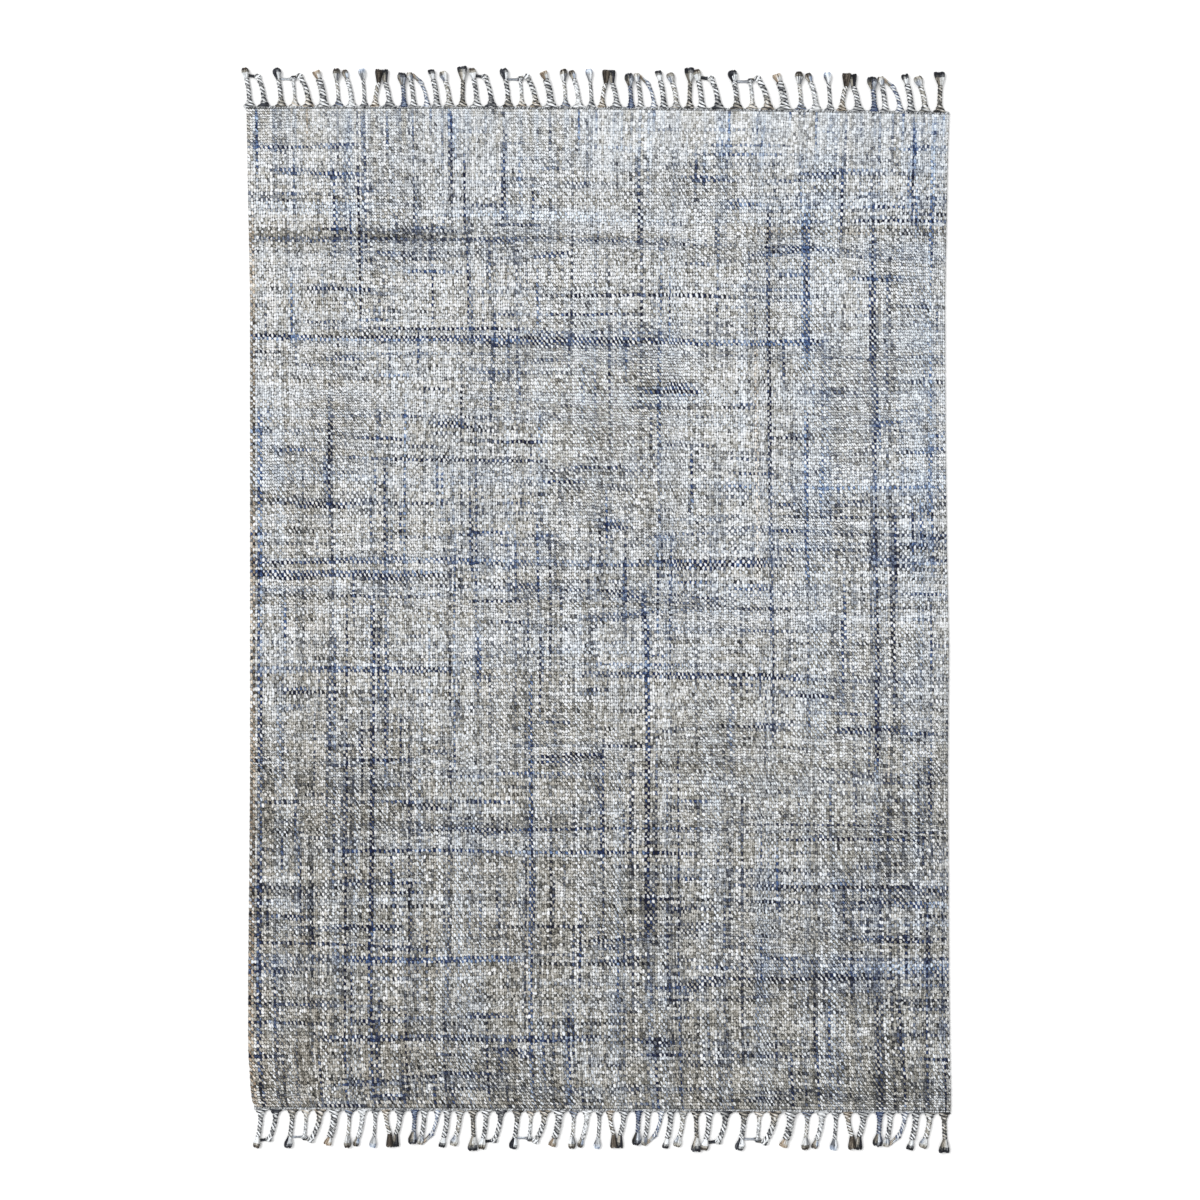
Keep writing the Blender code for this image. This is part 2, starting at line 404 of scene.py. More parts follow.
def indigo_dashes(rng, axis):
    """How deep each crossing lies in a short, dark, indigo stretch of its yarn."""
    noise = smoothed(rng.standard_normal(COUNTS), DASH_REACH, axis)
    return np.maximum(smoothed(noise, DASH_SIDE, 1 - axis) - DASH_FROM, 0)


def shown_share(places, mark):
    """How far a streak or a fold shows at each place between its start and its stop."""
    risen = np.clip((places - mark.start * MM) / STREAK_FADE + 0.5, 0, 1)
    fallen = np.clip((mark.stop * MM - places) / STREAK_FADE + 0.5, 0, 1)
    return risen * fallen


def charted_dye(streaks, axis):
    """Tone and blue of the chart's streaks, for yarns that run along an axis."""
    tone = np.zeros(COUNTS)
    blue = np.zeros(COUNTS)
    side = 1 - axis
    along = (np.arange(COUNTS[axis]) + 0.5) / COUNTS[axis] * SPANS[axis] - SPANS[axis] / 2
    for streak in streaks:
        share = STREAK_STRENGTH * shown_share(along, streak)
        middle = (streak.place * MM / SPANS[side] + 0.5) * COUNTS[side]
        first = max(int(round(middle - streak.yarns / 2)), 0)
        last = min(first + streak.yarns, COUNTS[side])
        for yarn in range(first, last):
            line = (yarn, slice(None)) if axis == WARP_AXIS else (slice(None), yarn)
            tone[line] += streak.tone * share
            blue[line] += streak.blue * share
    return tone, blue


def painted_fold_shade(warp, pick):
    """Painted shade of the old folds: the tone and blue it adds at each crossing."""
    tone = np.zeros(COUNTS)
    blue = np.zeros(COUNTS)
    across = ((warp + 0.5) / WARPS - 0.5) * RUG_WIDTH
    along = ((pick + 0.5) / PICKS - 0.5) * RUG_LENGTH
    for fold in FOLD_SHADES:
        depth = np.exp(-((along - fold.place * MM) / (fold.reach * MM)) ** 2)
        share = shown_share(across, fold) * depth
        tone += fold.tone * share
        blue += fold.blue * share
    return tone, blue


print("a streak fades over", round(STREAK_FADE / MM), "mm of its yarn")

# %% [markdown]
# ## Dyeing every crossing
#
# Now everything is added up, once for the warp and once for the weft. Where a yarn is dark
# it is also bluer, because a yarn that took more dye took more indigo. Then the yarn on top
# is chosen for each crossing. A weft yarn on top lies lower, so it gets a little painted
# shade at random, and near the head the warp covers part of it. The rug is darkest at its
# foot and lightest just below its head, and it is bluer towards its head and its right side.

# %% Dye every crossing
DYE_SEED = 7
BASE_TONE = 0.76
FLECK = 0.125
# Painted shade on a weft yarn on top, which lies lower than the warp
LOW_WEFT_PAINTED_SHADE = 0.12
DARK_RARE = 1.0
DARK_RARE_FROM = 0.10
DASH_TONE = 0.17
DASH_BLUE = 0.30
LEAST_BLUE = -0.8
BLUE_BASE = 0.09
BLUE_TOWARDS_RIGHT = 0.14
BLUE_TOWARDS_HEAD = 0.085
BLUE_NOISE = 0.15
BLUE_IN_DARK = 1.7
BLUE_IN_DARK_FROM = 0.09
HEAD_COVER = 0.55
HEAD_EVENNESS = 0.45
HEAD_COVER_PICKS = 30

# Places along the rug in millimetres, each with the tone it adds.
TONE_ALONG = [
    (-1150, -0.110),
    (-700, -0.065),
    (-350, -0.030),
    (0, 0.040),
    (350, 0.065),
    (800, 0.090),
    (1150, 0.055),
]


def head_share(v):
    """1 at the head edge, falling to 0 where the open, even weave begins."""
    share = np.clip((v - (PICKS - HEAD_COVER_PICKS)) / HEAD_COVER_PICKS, 0, 1)
    return share * share * (3 - 2 * share)


def dye_the_yarns():
    """Tone and blue of the yarn that lies on top at each crossing."""
    rng = np.random.default_rng(DYE_SEED)
    warp_tone, warp_blue = charted_dye(WARP_STREAKS, WARP_AXIS)
    weft_tone, weft_blue = charted_dye(WEFT_STREAKS, WEFT_AXIS)
    warp_tone += random_dye(rng, WARP_TONE, WARP_AXIS)
    weft_tone += random_dye(rng, WEFT_TONE, WEFT_AXIS)
    both_ways = ((warp_tone, warp_blue, WARP_AXIS), (weft_tone, weft_blue, WEFT_AXIS))
    for yarn_tone, yarn_blue, axis in both_ways:
        dashes = indigo_dashes(rng, axis)
        yarn_tone -= DASH_TONE * dashes
        random_blue = np.maximum(random_dye(rng, BLUE_LAYERS, axis), LEAST_BLUE)
        yarn_blue += BLUE_NOISE * random_blue + DASH_BLUE * dashes
        yarn_blue += BLUE_IN_DARK * np.maximum(-yarn_tone - BLUE_IN_DARK_FROM, 0)
        yarn_tone -= DARK_RARE * np.maximum(-yarn_tone - DARK_RARE_FROM, 0)

    warp, pick = np.meshgrid(np.arange(WARPS), np.arange(PICKS), indexing="ij")
    weft_on_top = (warp + pick) % 2 == 0
    weft_share = weft_on_top * (1 - HEAD_COVER * head_share(pick))
    tone = weft_tone * weft_share + warp_tone * (1 - weft_share)
    tone *= 1 - HEAD_EVENNESS * head_share(pick)
    # A weft yarn on top lies lower: painted shade darkens it by a random amount
    tone -= LOW_WEFT_PAINTED_SHADE * np.abs(rng.standard_normal(COUNTS)) * weft_share
    blue = weft_blue * weft_share + warp_blue * (1 - weft_share)
    tone += FLECK * rng.standard_normal(COUNTS)
    along_mm = (pick / PICKS - 0.5) * RUG_LENGTH / MM
    tone += BASE_TONE + np.interp(along_mm, *zip(*TONE_ALONG))
    blue += BLUE_BASE + BLUE_TOWARDS_RIGHT * (warp / WARPS - 0.5)
    blue += BLUE_TOWARDS_HEAD * (pick / PICKS - 0.5)
    # The painted shade of the old folds darkens whichever yarn is on top along them
    fold_shade_tone, fold_shade_blue = painted_fold_shade(warp, pick)
    return tone + fold_shade_tone, blue + fold_shade_blue, weft_on_top


tone, blue, weft_on_top = dye_the_yarns()
print("tone", tone.mean().round(3), "spread", tone.std().round(3), "blue", blue.mean().round(3))

# %% [markdown]
# ## Small helpers for nodes
#
# A yarn's material is a long sum of small steps, each one a node that could be placed and
# linked by hand in the Shader Editor. The helpers below place a node, link what comes in
# and hand back what goes out, so the material can be written like a sum. A noise texture
# serves as fibres, and a Bump node turns a height in millimetres into relief.

# %% Node helpers
FIBRE_DETAIL = 3.0
YARN_ROUGHNESS = 0.93
YARN_SHINE = 0.18
YARN_SHEEN = 0.06
SHEEN_ROUGHNESS = 0.6


def math_node(tree, operation, first, second=None):
    """A Math node. Its inputs are numbers or other nodes' outputs."""
    node = tree.nodes.new("ShaderNodeMath")
    node.operation = operation
    for index, value in enumerate((first, second)):
        if value is None:
            continue
        if isinstance(value, (int, float)):
            node.inputs[index].default_value = value
        else:
            tree.links.new(value, node.inputs[index])
    return node.outputs[0]


def plus(tree, first, second):
    return math_node(tree, "ADD", first, second)


def minus(tree, first, second):
    return math_node(tree, "SUBTRACT", first, second)


def times(tree, first, second):
    return math_node(tree, "MULTIPLY", first, second)


def steepened(tree, offset, power):
    """The size of an offset, raised to a power."""
    return math_node(tree, "POWER", math_node(tree, "ABSOLUTE", offset), power)


def number_attribute(tree, name):
    """Reads a number that the mesh carries under this name."""
    node = tree.nodes.new("ShaderNodeAttribute")
    node.attribute_name = name
    return node.outputs["Fac"]


def blend_numbers(tree, share, first, second):
    """first where share is 0 and second where it is 1."""
    node = tree.nodes.new("ShaderNodeMix")
    node.data_type = "FLOAT"
    for index, value in ((0, share), (2, first), (3, second)):
        tree.links.new(value, node.inputs[index])
    return node.outputs[0]


def between_0_and_1(tree, value):
    return math_node(tree, "MINIMUM", math_node(tree, "MAXIMUM", value, 0.0), 1.0)


def colour_ramp(tree, level, stops):
    """A ramp from screen colours: each stop is its place and its red, green and blue."""
    node = tree.nodes.new("ShaderNodeValToRGB")
    tree.links.new(level, node.inputs["Fac"])
    elements = node.color_ramp.elements
    while len(elements) < len(stops):
        elements.new(0.5)
    for element, (place, colour) in zip(elements, stops):
        element.position = place
        element.color = linear(*colour)
    return node.outputs["Color"]


def blend_colours(tree, share, first, second, blend_type="MIX"):
    """The same for colours, which the Mix node takes in its sockets 6 and 7."""
    node = tree.nodes.new("ShaderNodeMix")
    node.data_type = "RGBA"
    node.blend_type = blend_type
    if isinstance(share, (int, float)):
        node.inputs[0].default_value = share
    else:
        tree.links.new(share, node.inputs[0])
    tree.links.new(first, node.inputs[6])
    tree.links.new(second, node.inputs[7])
    return node.outputs[2]


def yarn_map(tree):
    """The map that counts yarns on the cloth, and runs around and along a cord."""
    node = tree.nodes.new("ShaderNodeUVMap")
    node.uv_map = "yarn"
    return node.outputs["UV"]


def fibre_noise(tree, vector, scale):
    """Fine noise around zero."""
    node = tree.nodes.new("ShaderNodeTexNoise")
    node.inputs["Scale"].default_value = scale
    node.inputs["Detail"].default_value = FIBRE_DETAIL
    tree.links.new(vector, node.inputs["Vector"])
    return minus(tree, node.outputs["Fac"], 0.5)


def link_bump(tree, shader, height, strength):
    """Relief from a height in millimetres."""
    bump = tree.nodes.new("ShaderNodeBump")
    bump.inputs["Strength"].default_value = strength
    bump.inputs["Distance"].default_value = MM
    tree.links.new(height, bump.inputs["Height"])
    tree.links.new(bump.outputs["Normal"], shader.inputs["Normal"])


def yarn_shader(name):
    """A new material, as dull and as faintly hairy as wool."""
    material, tree, shader = shader_material(name, YARN_ROUGHNESS)
    shader.inputs["Specular IOR Level"].default_value = YARN_SHINE
    shader.inputs["Sheen Weight"].default_value = YARN_SHEEN
    shader.inputs["Sheen Roughness"].default_value = SHEEN_ROUGHNESS
    return material, tree, shader


print("a screen's middle grey is", round(linear(128, 128, 128)[0], 3), "to a node")

# %% [markdown]
# ## The woven yarn's material
#
# The material reads the numbers that each crossing carries: tone, blue, which yarn is on
# top, how the yarns lean and how open the hole beside them is. A map that counts yarns says
# where a point lies on its own yarn. From that come the round of the yarn, the slant of its
# two plies and its fibres, which all become bump, and a painted shade in the holes and the gaps.
# Three ramps, one warm, one indigo and one tan, turn tone into colour. Blue mixes the warm
# one with the indigo one, and below 0 with the tan one.

# %% The woven yarn's material
WARM_YARN = [
    (0.00, (21, 22, 24)),
    (0.20, (54, 55, 55)),
    (0.40, (101, 100, 94)),
    (0.55, (144, 142, 134)),
    (0.70, (187, 185, 178)),
    (0.85, (218, 219, 218)),
    (1.00, (241, 243, 246)),
]
INDIGO_YARN = [
    (0.00, (12, 17, 44)),
    (0.20, (30, 47, 90)),
    (0.40, (70, 95, 142)),
    (0.55, (113, 138, 177)),
    (0.70, (158, 180, 212)),
    (0.85, (198, 217, 238)),
    (1.00, (230, 242, 252)),
]
TAN_YARN = [
    (0.00, (36, 26, 18)),
    (0.40, (118, 94, 70)),
    (0.70, (186, 160, 130)),
    (1.00, (250, 236, 214)),
]
WARP_PITCH = RUG_WIDTH / WARPS
PICK_PITCH = RUG_LENGTH / PICKS
FIBRE_CONTRAST = 0.95
PLY_CONTRAST = 0.07
# Painted shade: how much the holes and the gaps between the yarns darken the colour.
HOLE_SHADE = 1.35
HOLE_POWER = 1.6
GAP_SHADE = 0.42
CLOSED_GAP = 0.30
PICK_GAP = 0.6
ROUND_HEIGHT = 0.9
HOLE_HEIGHT = 1.6
PLY_HEIGHT = 0.25
FIBRE_HEIGHT = 0.5
PLY_TURNS = 0.24
PLY_SLANT = 0.16
ROUND_POWER = 2.5
GAP_POWER = 3.0
FIBRE_SCALE = 0.5
FIBRE_STRETCH = 0.45
WEFT_FIBRE_SHIFT = 31.7
LEAST_LIGHT = 0.04
WOVEN_BUMP = 1.0


def yarn_colour(tree, level):
    """Colour of a yarn from how light it is here and from its own blue."""
    blueness = number_attribute(tree, "blue")
    warm = colour_ramp(tree, level, WARM_YARN)
    indigo = colour_ramp(tree, level, INDIGO_YARN)
    tan = colour_ramp(tree, level, TAN_YARN)
    colour = blend_colours(tree, between_0_and_1(tree, blueness), warm, indigo)
    tan_share = between_0_and_1(tree, times(tree, blueness, -1.0))
    return blend_colours(tree, tan_share, colour, tan)


def over_crossing(tree, count):
    """From -1 to 1 over one crossing, from a count of yarns."""
    return minus(tree, times(tree, math_node(tree, "FRACT", count), 2.0), 1.0)


def plies_and_fibres(tree, counted, weft_top):
    """The slant of the plies and the noise of the fibres, both measured in millimetres."""
    x_mm = times(tree, counted["X"], WARP_PITCH / MM)
    y_mm = times(tree, counted["Y"], PICK_PITCH / MM)
    along = blend_numbers(tree, weft_top, y_mm, x_mm)
    across = blend_numbers(tree, weft_top, x_mm, y_mm)
    turn = plus(tree, times(tree, along, PLY_TURNS * 2 * math.pi),
                times(tree, across, PLY_SLANT * 2 * math.pi))
    fibre_place = tree.nodes.new("ShaderNodeCombineXYZ")
    tree.links.new(times(tree, along, FIBRE_STRETCH), fibre_place.inputs["X"])
    tree.links.new(across, fibre_place.inputs["Y"])
    tree.links.new(times(tree, weft_top, WEFT_FIBRE_SHIFT), fibre_place.inputs["Z"])
    fibre = fibre_noise(tree, fibre_place.outputs[0], FIBRE_SCALE)
    return math_node(tree, "SINE", turn), fibre


def with_painted_shade(tree, colour, hole, gap):
    """The colour with painted shade: darker in the holes and in the gaps, which are deepest beside
    a hole.
    """
    openness = plus(tree, number_attribute(tree, "hole"), CLOSED_GAP)
    gap_shade = times(tree, times(tree, gap, openness), GAP_SHADE)
    shade = plus(tree, times(tree, hole, HOLE_SHADE), gap_shade)
    light = math_node(tree, "MAXIMUM", minus(tree, 1.0, shade), LEAST_LIGHT)
    grey = tree.nodes.new("ShaderNodeCombineColor")
    for name in ("Red", "Green", "Blue"):
        tree.links.new(light, grey.inputs[name])
    return blend_colours(tree, 1.0, colour, grey.outputs[0], "MULTIPLY")


def woven_yarn_material():
    material, tree, shader = yarn_shader("woven_yarn_finish")
    split = tree.nodes.new("ShaderNodeSeparateXYZ")
    tree.links.new(yarn_map(tree), split.inputs[0])
    weft_top = number_attribute(tree, "weft_on_top")
    ply, fibre = plies_and_fibres(tree, split.outputs, weft_top)

    # Where the point lies on its crossing, leaning as the yarns lean here
    pick_offset = over_crossing(tree, split.outputs["Y"])
    lean = times(tree, number_attribute(tree, "lean"), pick_offset)
    warp_offset = plus(tree, over_crossing(tree, split.outputs["X"]), lean)
    across = blend_numbers(tree, weft_top, warp_offset, pick_offset)
    across_fall = steepened(tree, across, ROUND_POWER)
    pick_gap = times(tree, steepened(tree, pick_offset, GAP_POWER), PICK_GAP)
    gap = math_node(tree, "MAXIMUM", steepened(tree, warp_offset, GAP_POWER), pick_gap)
    corner = times(tree, steepened(tree, warp_offset, HOLE_POWER),
                   steepened(tree, pick_offset, HOLE_POWER))
    hole = times(tree, corner, number_attribute(tree, "hole"))

    level = plus(tree, number_attribute(tree, "tone"), times(tree, fibre, FIBRE_CONTRAST))
    level = plus(tree, level, times(tree, ply, PLY_CONTRAST))
    # The colour gets painted shade in the holes and the gaps.
    colour = with_painted_shade(tree, yarn_colour(tree, level), hole, gap)
    tree.links.new(colour, shader.inputs["Base Color"])

    height = plus(tree, times(tree, across_fall, -ROUND_HEIGHT), times(tree, hole, -HOLE_HEIGHT))
    height = plus(tree, height, times(tree, ply, PLY_HEIGHT))
    height = plus(tree, height, times(tree, fibre, FIBRE_HEIGHT))
    link_bump(tree, shader, height, WOVEN_BUMP)
    return material


woven_yarn = woven_yarn_material()
print("nodes in the yarn's material:", len(woven_yarn.node_tree.nodes))

# %% [markdown]
# ## How the yarns wander, lean and leave holes
#
# No yarn of a handwoven rug runs straight. Warps wander slowly to the side, picks bow and
# crowd, and every crossing is a little off its place. The warps also lean between two picks,
# to the left at one side of the head and to the right at the other, and a small hole stays
# open beside some crossings, which the material darkens with painted shade. Each of these
# is a field of random numbers, most of them smoothed, with one number for each corner of
# the grid of yarns. The four faces around a corner share it, so the grid never tears.

# %% How the yarns wander, lean and leave holes
CORNERS = (WARPS + 1, PICKS + 1)
WANDER_SEED = 11

# spread: how strong. across, along: how many warps and how many picks it is smoothed over.
FieldLayer = namedtuple("FieldLayer", "spread across along")
SIDEWAYS = [FieldLayer(0.60, 5, 90), FieldLayer(0.25, 6, 16)]
LENGTHWAYS = [FieldLayer(0.60, 90, 5), FieldLayer(0.30, 22, 5)]
SLUBS = [FieldLayer(0.6, 1.5, 1.5), FieldLayer(0.6, 0.4, 3)]
LEANS = [FieldLayer(0.25, 12, 10)]
SIDEWAYS_JITTER = 0.27
LENGTHWAYS_JITTER = 0.35
LEAN_BASE = 0.38
HEAD_LEAN_LEFT = 0.45
HEAD_LEAN_CHANGE = -1.3
FULL_LEAN = 0.6
HOLE_LEAST = 0.25
HOLE_RANGE = 1.3
HOLE_RARITY = 2.5
HEAD_CLOSES = 0.55
HOLE_BY_LEAN = 0.45


def layered_field(rng, layers):
    """A sum of smoothed random numbers, one for each corner."""
    total = np.zeros(CORNERS)
    for layer in layers:
        noise = rng.standard_normal(CORNERS)
        total += layer.spread * smoothed(smoothed(noise, layer.across, 0), layer.along, 1)
    return total


def at_place(field, u, v):
    """A field's value at a place in counts of yarns, between its four corners."""
    i = np.clip(np.floor(u), 0, WARPS - 1).astype(int)
    j = np.clip(np.floor(v), 0, PICKS - 1).astype(int)
    s = np.clip(u - i, 0, 1)
    t = np.clip(v - j, 0, 1)
    low = field[i, j] * (1 - s) + field[i + 1, j] * s
    high = field[i, j + 1] * (1 - s) + field[i + 1, j + 1] * s
    return low * (1 - t) + high * t


rng = np.random.default_rng(WANDER_SEED)
corner_u, corner_v = np.meshgrid(np.arange(WARPS + 1), np.arange(PICKS + 1), indexing="ij")
sideways = (layered_field(rng, SIDEWAYS)
            + rng.uniform(-SIDEWAYS_JITTER, SIDEWAYS_JITTER, CORNERS))
lengthways = (layered_field(rng, LENGTHWAYS)
              + rng.uniform(-LENGTHWAYS_JITTER, LENGTHWAYS_JITTER, CORNERS))
slub = layered_field(rng, SLUBS)
near_head = head_share(corner_v)
lean = LEAN_BASE + layered_field(rng, LEANS)
lean += near_head * (HEAD_LEAN_LEFT + HEAD_LEAN_CHANGE * corner_u / WARPS)
hole = HOLE_LEAST + HOLE_RANGE * rng.random(CORNERS) ** HOLE_RARITY
hole *= 1 - HEAD_CLOSES * near_head
meets_weft = np.where((corner_u + corner_v) % 2 == 0, -1.0, 1.0)
hole *= 1 + HOLE_BY_LEAN * meets_weft * np.clip(lean / FULL_LEAN, -1, 1)
print("wander up to", round(float(np.abs(sideways).max()), 2), "warps")

# %% [markdown]
# ## From counts of yarns to the rug
#
# The cloth is first made in counts: a point at 12.5, 40 lies halfway over the thirteenth
# warp, between the fortieth pick and the next. Here such a place is laid on the rug's own
# outline, with the wander added, which fades out at the edges so that they keep their line.
# A point's level says what it is: the crown of a crossing, a corner between crossings, the
# middle of the side wall or the underside. At the selvedges the weft turns back around
# the last warp, so every second pick bulges out a little.

# %% Lay a count of yarns on the rug
WARP_CROWN_Z = 8.3 * MM
WEFT_CROWN_Z = 7.5 * MM
DIP_Z = 6.8 * MM
SLUB = 0.35 * MM
SIDE_Z = 3.6 * MM
SIDE_BULGE = 0.9 * MM
LOOP_BULGE = 0.6 * MM
UNDER_TUCK = 0.8 * MM
CROWN, CORNER, SIDE, UNDER = 2.0, 1.0, 0.5, 0.0
ABOVE_CORNER = (CROWN + CORNER) / 2
ABOVE_SIDE = (CORNER + SIDE) / 2
ABOVE_UNDER = (SIDE + UNDER) / 2
STEADY_EDGE = 4.0
AT_EDGE = 0.01


def on_rug(u, v):
    """X and y of a place given in counts of warps and picks."""
    across = np.clip(u / WARPS, 0, 1)
    along = np.clip(v / PICKS, 0, 1)
    nominal_x = (across - 0.5) * RUG_WIDTH
    low = foot_line(nominal_x) + HEADER_DEPTH
    high = head_line(nominal_x) - HEADER_DEPTH
    y = low + (high - low) * along
    x = left_side(y) + (right_side(y) - left_side(y)) * across
    return x + SLIDE_X, y + SLIDE_Y


def place_cloth(points):
    """Moves a band from counts of yarns to metres."""
    u, v, level = points[:, 0], points[:, 1], points[:, 2]
    off_sides = np.clip(np.minimum(u, WARPS - u) / STEADY_EDGE, 0, 1)
    off_ends = np.clip(np.minimum(v, PICKS - v) / STEADY_EDGE, 0, 1)
    wandered_u = u + off_sides * at_place(sideways, u, v)
    wandered_v = v + off_ends * at_place(lengthways, u, v)
    x, y = on_rug(wandered_u, wandered_v)
    weft_up = (np.floor(u) + np.floor(v)) % 2 == 0
    crown_z = np.where(weft_up, WEFT_CROWN_Z, WARP_CROWN_Z) + SLUB * at_place(slub, u, v)
    z = np.select([level > ABOVE_CORNER, level > ABOVE_SIDE, level > ABOVE_UNDER],
                  [crown_z, DIP_Z, SIDE_Z], 0.0)
    outward = np.where(u > WARPS / 2, 1.0, -1.0)
    at_selvedge = (u < AT_EDGE) | (u > WARPS - AT_EDGE)
    bulge = LOOP_BULGE * np.cos(math.pi * v) + SIDE_BULGE * (level < ABOVE_SIDE)
    x = x + outward * np.where(at_selvedge & (level > ABOVE_UNDER), bulge, 0)
    x = x - outward * np.where(at_selvedge & (level < ABOVE_UNDER), UNDER_TUCK, 0)
    return np.column_stack([x, y, z])


first_x, first_y = on_rug(0.0, 0.0)
print("the first warp meets the first pick at", round(float(first_x) / MM, 1),
      round(float(first_y) / MM, 1), "mm")

# %% [markdown]
# ## Numbers and maps on a mesh
#
# A mesh can carry named numbers on its faces or its points, and the material's Attribute
# nodes read them by name. It also carries two maps. One counts yarns, for the material. The
# other, for baking, has to give every face a place of its own: it folds a band in two
# halves, one above the other, spreads the walls outwards and keeps a strip for the
# underside. Numpy writes all of them in one go, which is much faster than face by face.

# %% Numbers and maps on a mesh
MAP_MARGIN = 0.006
MAP_TOP = 0.40
MAP_UNDER = 0.16
MAP_WALL = 1.2
UNDER_MIDDLE = 0.2


def read_array(items, name, width=1, kind=float):
    """One property of all of a mesh's points, corners or faces."""
    values = np.empty(len(items) * width, dtype=kind)
    items.foreach_get(name, values)
    return values.reshape(-1, width) if width > 1 else values


def write_numbers(mesh, name, domain, values):
    layer = mesh.attributes.new(name, "FLOAT", domain)
    layer.data.foreach_set("value", values.astype(np.float32))


def write_map(mesh, name, places):
    layer = mesh.uv_layers.new(name=name)
    layer.data.foreach_set("uv", places.astype(np.float32).ravel())


def place_points(mesh, points):
    """Makes the yarn map the one in use and moves every point to its place."""
    mesh.uv_layers["yarn"].active_render = True
    mesh.uv_layers.active = mesh.uv_layers["yarn"]
    mesh.vertices.foreach_set("co", points.astype(np.float32).ravel())
    mesh.update()


def beyond(count, first, last):
    """-1 before the first yarn's middle, 1 after the last one's and 0 between them."""
    return np.where(count < first + 0.5, -1, np.where(count > last - 0.5, 1, 0))


def bake_places(corners, first_pick, last_pick, on_right, is_under):
    """Where each face corner of a band lies on the bake map."""
    u, v, level = corners.T
    picks = last_pick - first_pick
    half = WARPS / 2
    wall = MAP_WALL * (CORNER - np.minimum(level, CORNER))
    wide_u = u + wall * beyond(u, 0, WARPS)
    wide_v = v + wall * beyond(v, first_pick, last_pick)
    across = np.where(on_right, wide_u - half, wide_u)
    across = (across + MAP_WALL) / (half + 2 * MAP_WALL)
    along = (wide_v - first_pick + MAP_WALL) / (picks + 2 * MAP_WALL)
    right_base = 2 * MAP_MARGIN + MAP_UNDER
    left_base = 4 * MAP_MARGIN + MAP_UNDER + MAP_TOP
    top_v = np.where(on_right, right_base, left_base) + along * MAP_TOP
    under_v = MAP_MARGIN + (v - first_pick) / picks * (MAP_UNDER - MAP_MARGIN)
    map_u = MAP_MARGIN + np.where(is_under, u / WARPS, across) * (1 - 2 * MAP_MARGIN)
    return np.column_stack([map_u, np.where(is_under, under_v, top_v)])


def carry_numbers(mesh, first_pick, last_pick):
    """Gives a band each crossing's numbers and both maps, and lays it on the rug."""
    points = read_array(mesh.vertices, "co", 3)
    middles = read_array(mesh.polygons, "center", 3)
    corner_count = read_array(mesh.polygons, "loop_total", kind=int)
    corners = points[read_array(mesh.loops, "vertex_index", kind=int)]

    warp = np.clip(np.floor(middles[:, 0]), 0, WARPS - 1).astype(int)
    pick = np.clip(np.floor(middles[:, 1]), first_pick, last_pick - 1).astype(int)
    for name, values in (("tone", tone), ("blue", blue), ("weft_on_top", weft_on_top)):
        write_numbers(mesh, name, "FACE", values[warp, pick])
    for name, values in (("lean", lean), ("hole", hole)):
        write_numbers(mesh, name, "POINT", at_place(values, points[:, 0], points[:, 1]))

    write_map(mesh, "yarn", corners[:, :2])
    on_right = np.repeat(middles[:, 0] > WARPS / 2, corner_count)
    is_under = np.repeat(middles[:, 2] < UNDER_MIDDLE, corner_count)
    write_map(mesh, "OFBake", bake_places(corners, first_pick, last_pick, on_right, is_under))
    place_points(mesh, place_cloth(points))


print("the underside takes", round(MAP_UNDER * 100), "% of a band's bake map")

# %% [markdown]
# ## Weaving the cloth in bands
#
# Almost a hundred thousand crossings have to show, so the relief has to be cheap: a grid
# with one face for each crossing, and Poke, which raises a point in the middle of every
# face. That is four triangles a crossing. The open edge is then extruded down twice, for
# the side wall and the underside, and closed with one face. The cloth is made in four bands
# that meet in the dip between two picks, because one mesh this fine would be too heavy to
# hand on.

# %% Weave the bands
BANDS = 4


def weave_band(name, first_pick, last_pick):
    """One band of the cloth, from its grid to its carried numbers."""
    picks = last_pick - first_pick
    bm = bmesh.new()
    bmesh.ops.create_grid(bm, x_segments=WARPS, y_segments=picks, size=0.5)
    bmesh.ops.scale(bm, vec=(WARPS, picks, 1), verts=bm.verts)
    bmesh.ops.translate(bm, vec=(WARPS / 2, first_pick + picks / 2, CORNER), verts=bm.verts)
    bmesh.ops.poke(bm, faces=bm.faces, offset=CROWN - CORNER, center_mode="MEAN")
    edge_loop = [edge for edge in bm.edges if edge.is_boundary]
    for level in (SIDE, UNDER):
        pulled = bmesh.ops.extrude_edge_only(bm, edges=edge_loop)["geom"]
        for item in pulled:
            if isinstance(item, bmesh.types.BMVert):
                item.co.z = level
        edge_loop = [item for item in pulled if isinstance(item, bmesh.types.BMEdge)]
    under = bmesh.ops.contextual_create(bm, geom=edge_loop)["faces"]
    for face in bm.faces:
        face.smooth = face not in under
    bmesh.ops.recalc_face_normals(bm, faces=bm.faces)
    piece = mesh_piece(name, bm, woven_yarn)
    carry_numbers(piece.data, first_pick, last_pick)
    return piece


band_edges = [round(PICKS * number / BANDS) for number in range(BANDS + 1)]
bands = []
for number in range(BANDS):
    band = weave_band("cloth_band_%d" % (number + 1), band_edges[number], band_edges[number + 1])
    bands.append(band)
    print(band.name, len(band.data.polygons), "faces")

# %% [markdown]
# ## The fringe
#
# Along each end the warp ends are twisted three together into cords, each cord is bound near
# its tip and its ends are cut into a tuft. The same run of 17 cords was knotted three times
# on each end, and the foot mirrors the head, so one table draws all 102 of them. Some cords
# were not cut but led across and tied to the tuft of their neighbour: those are links.

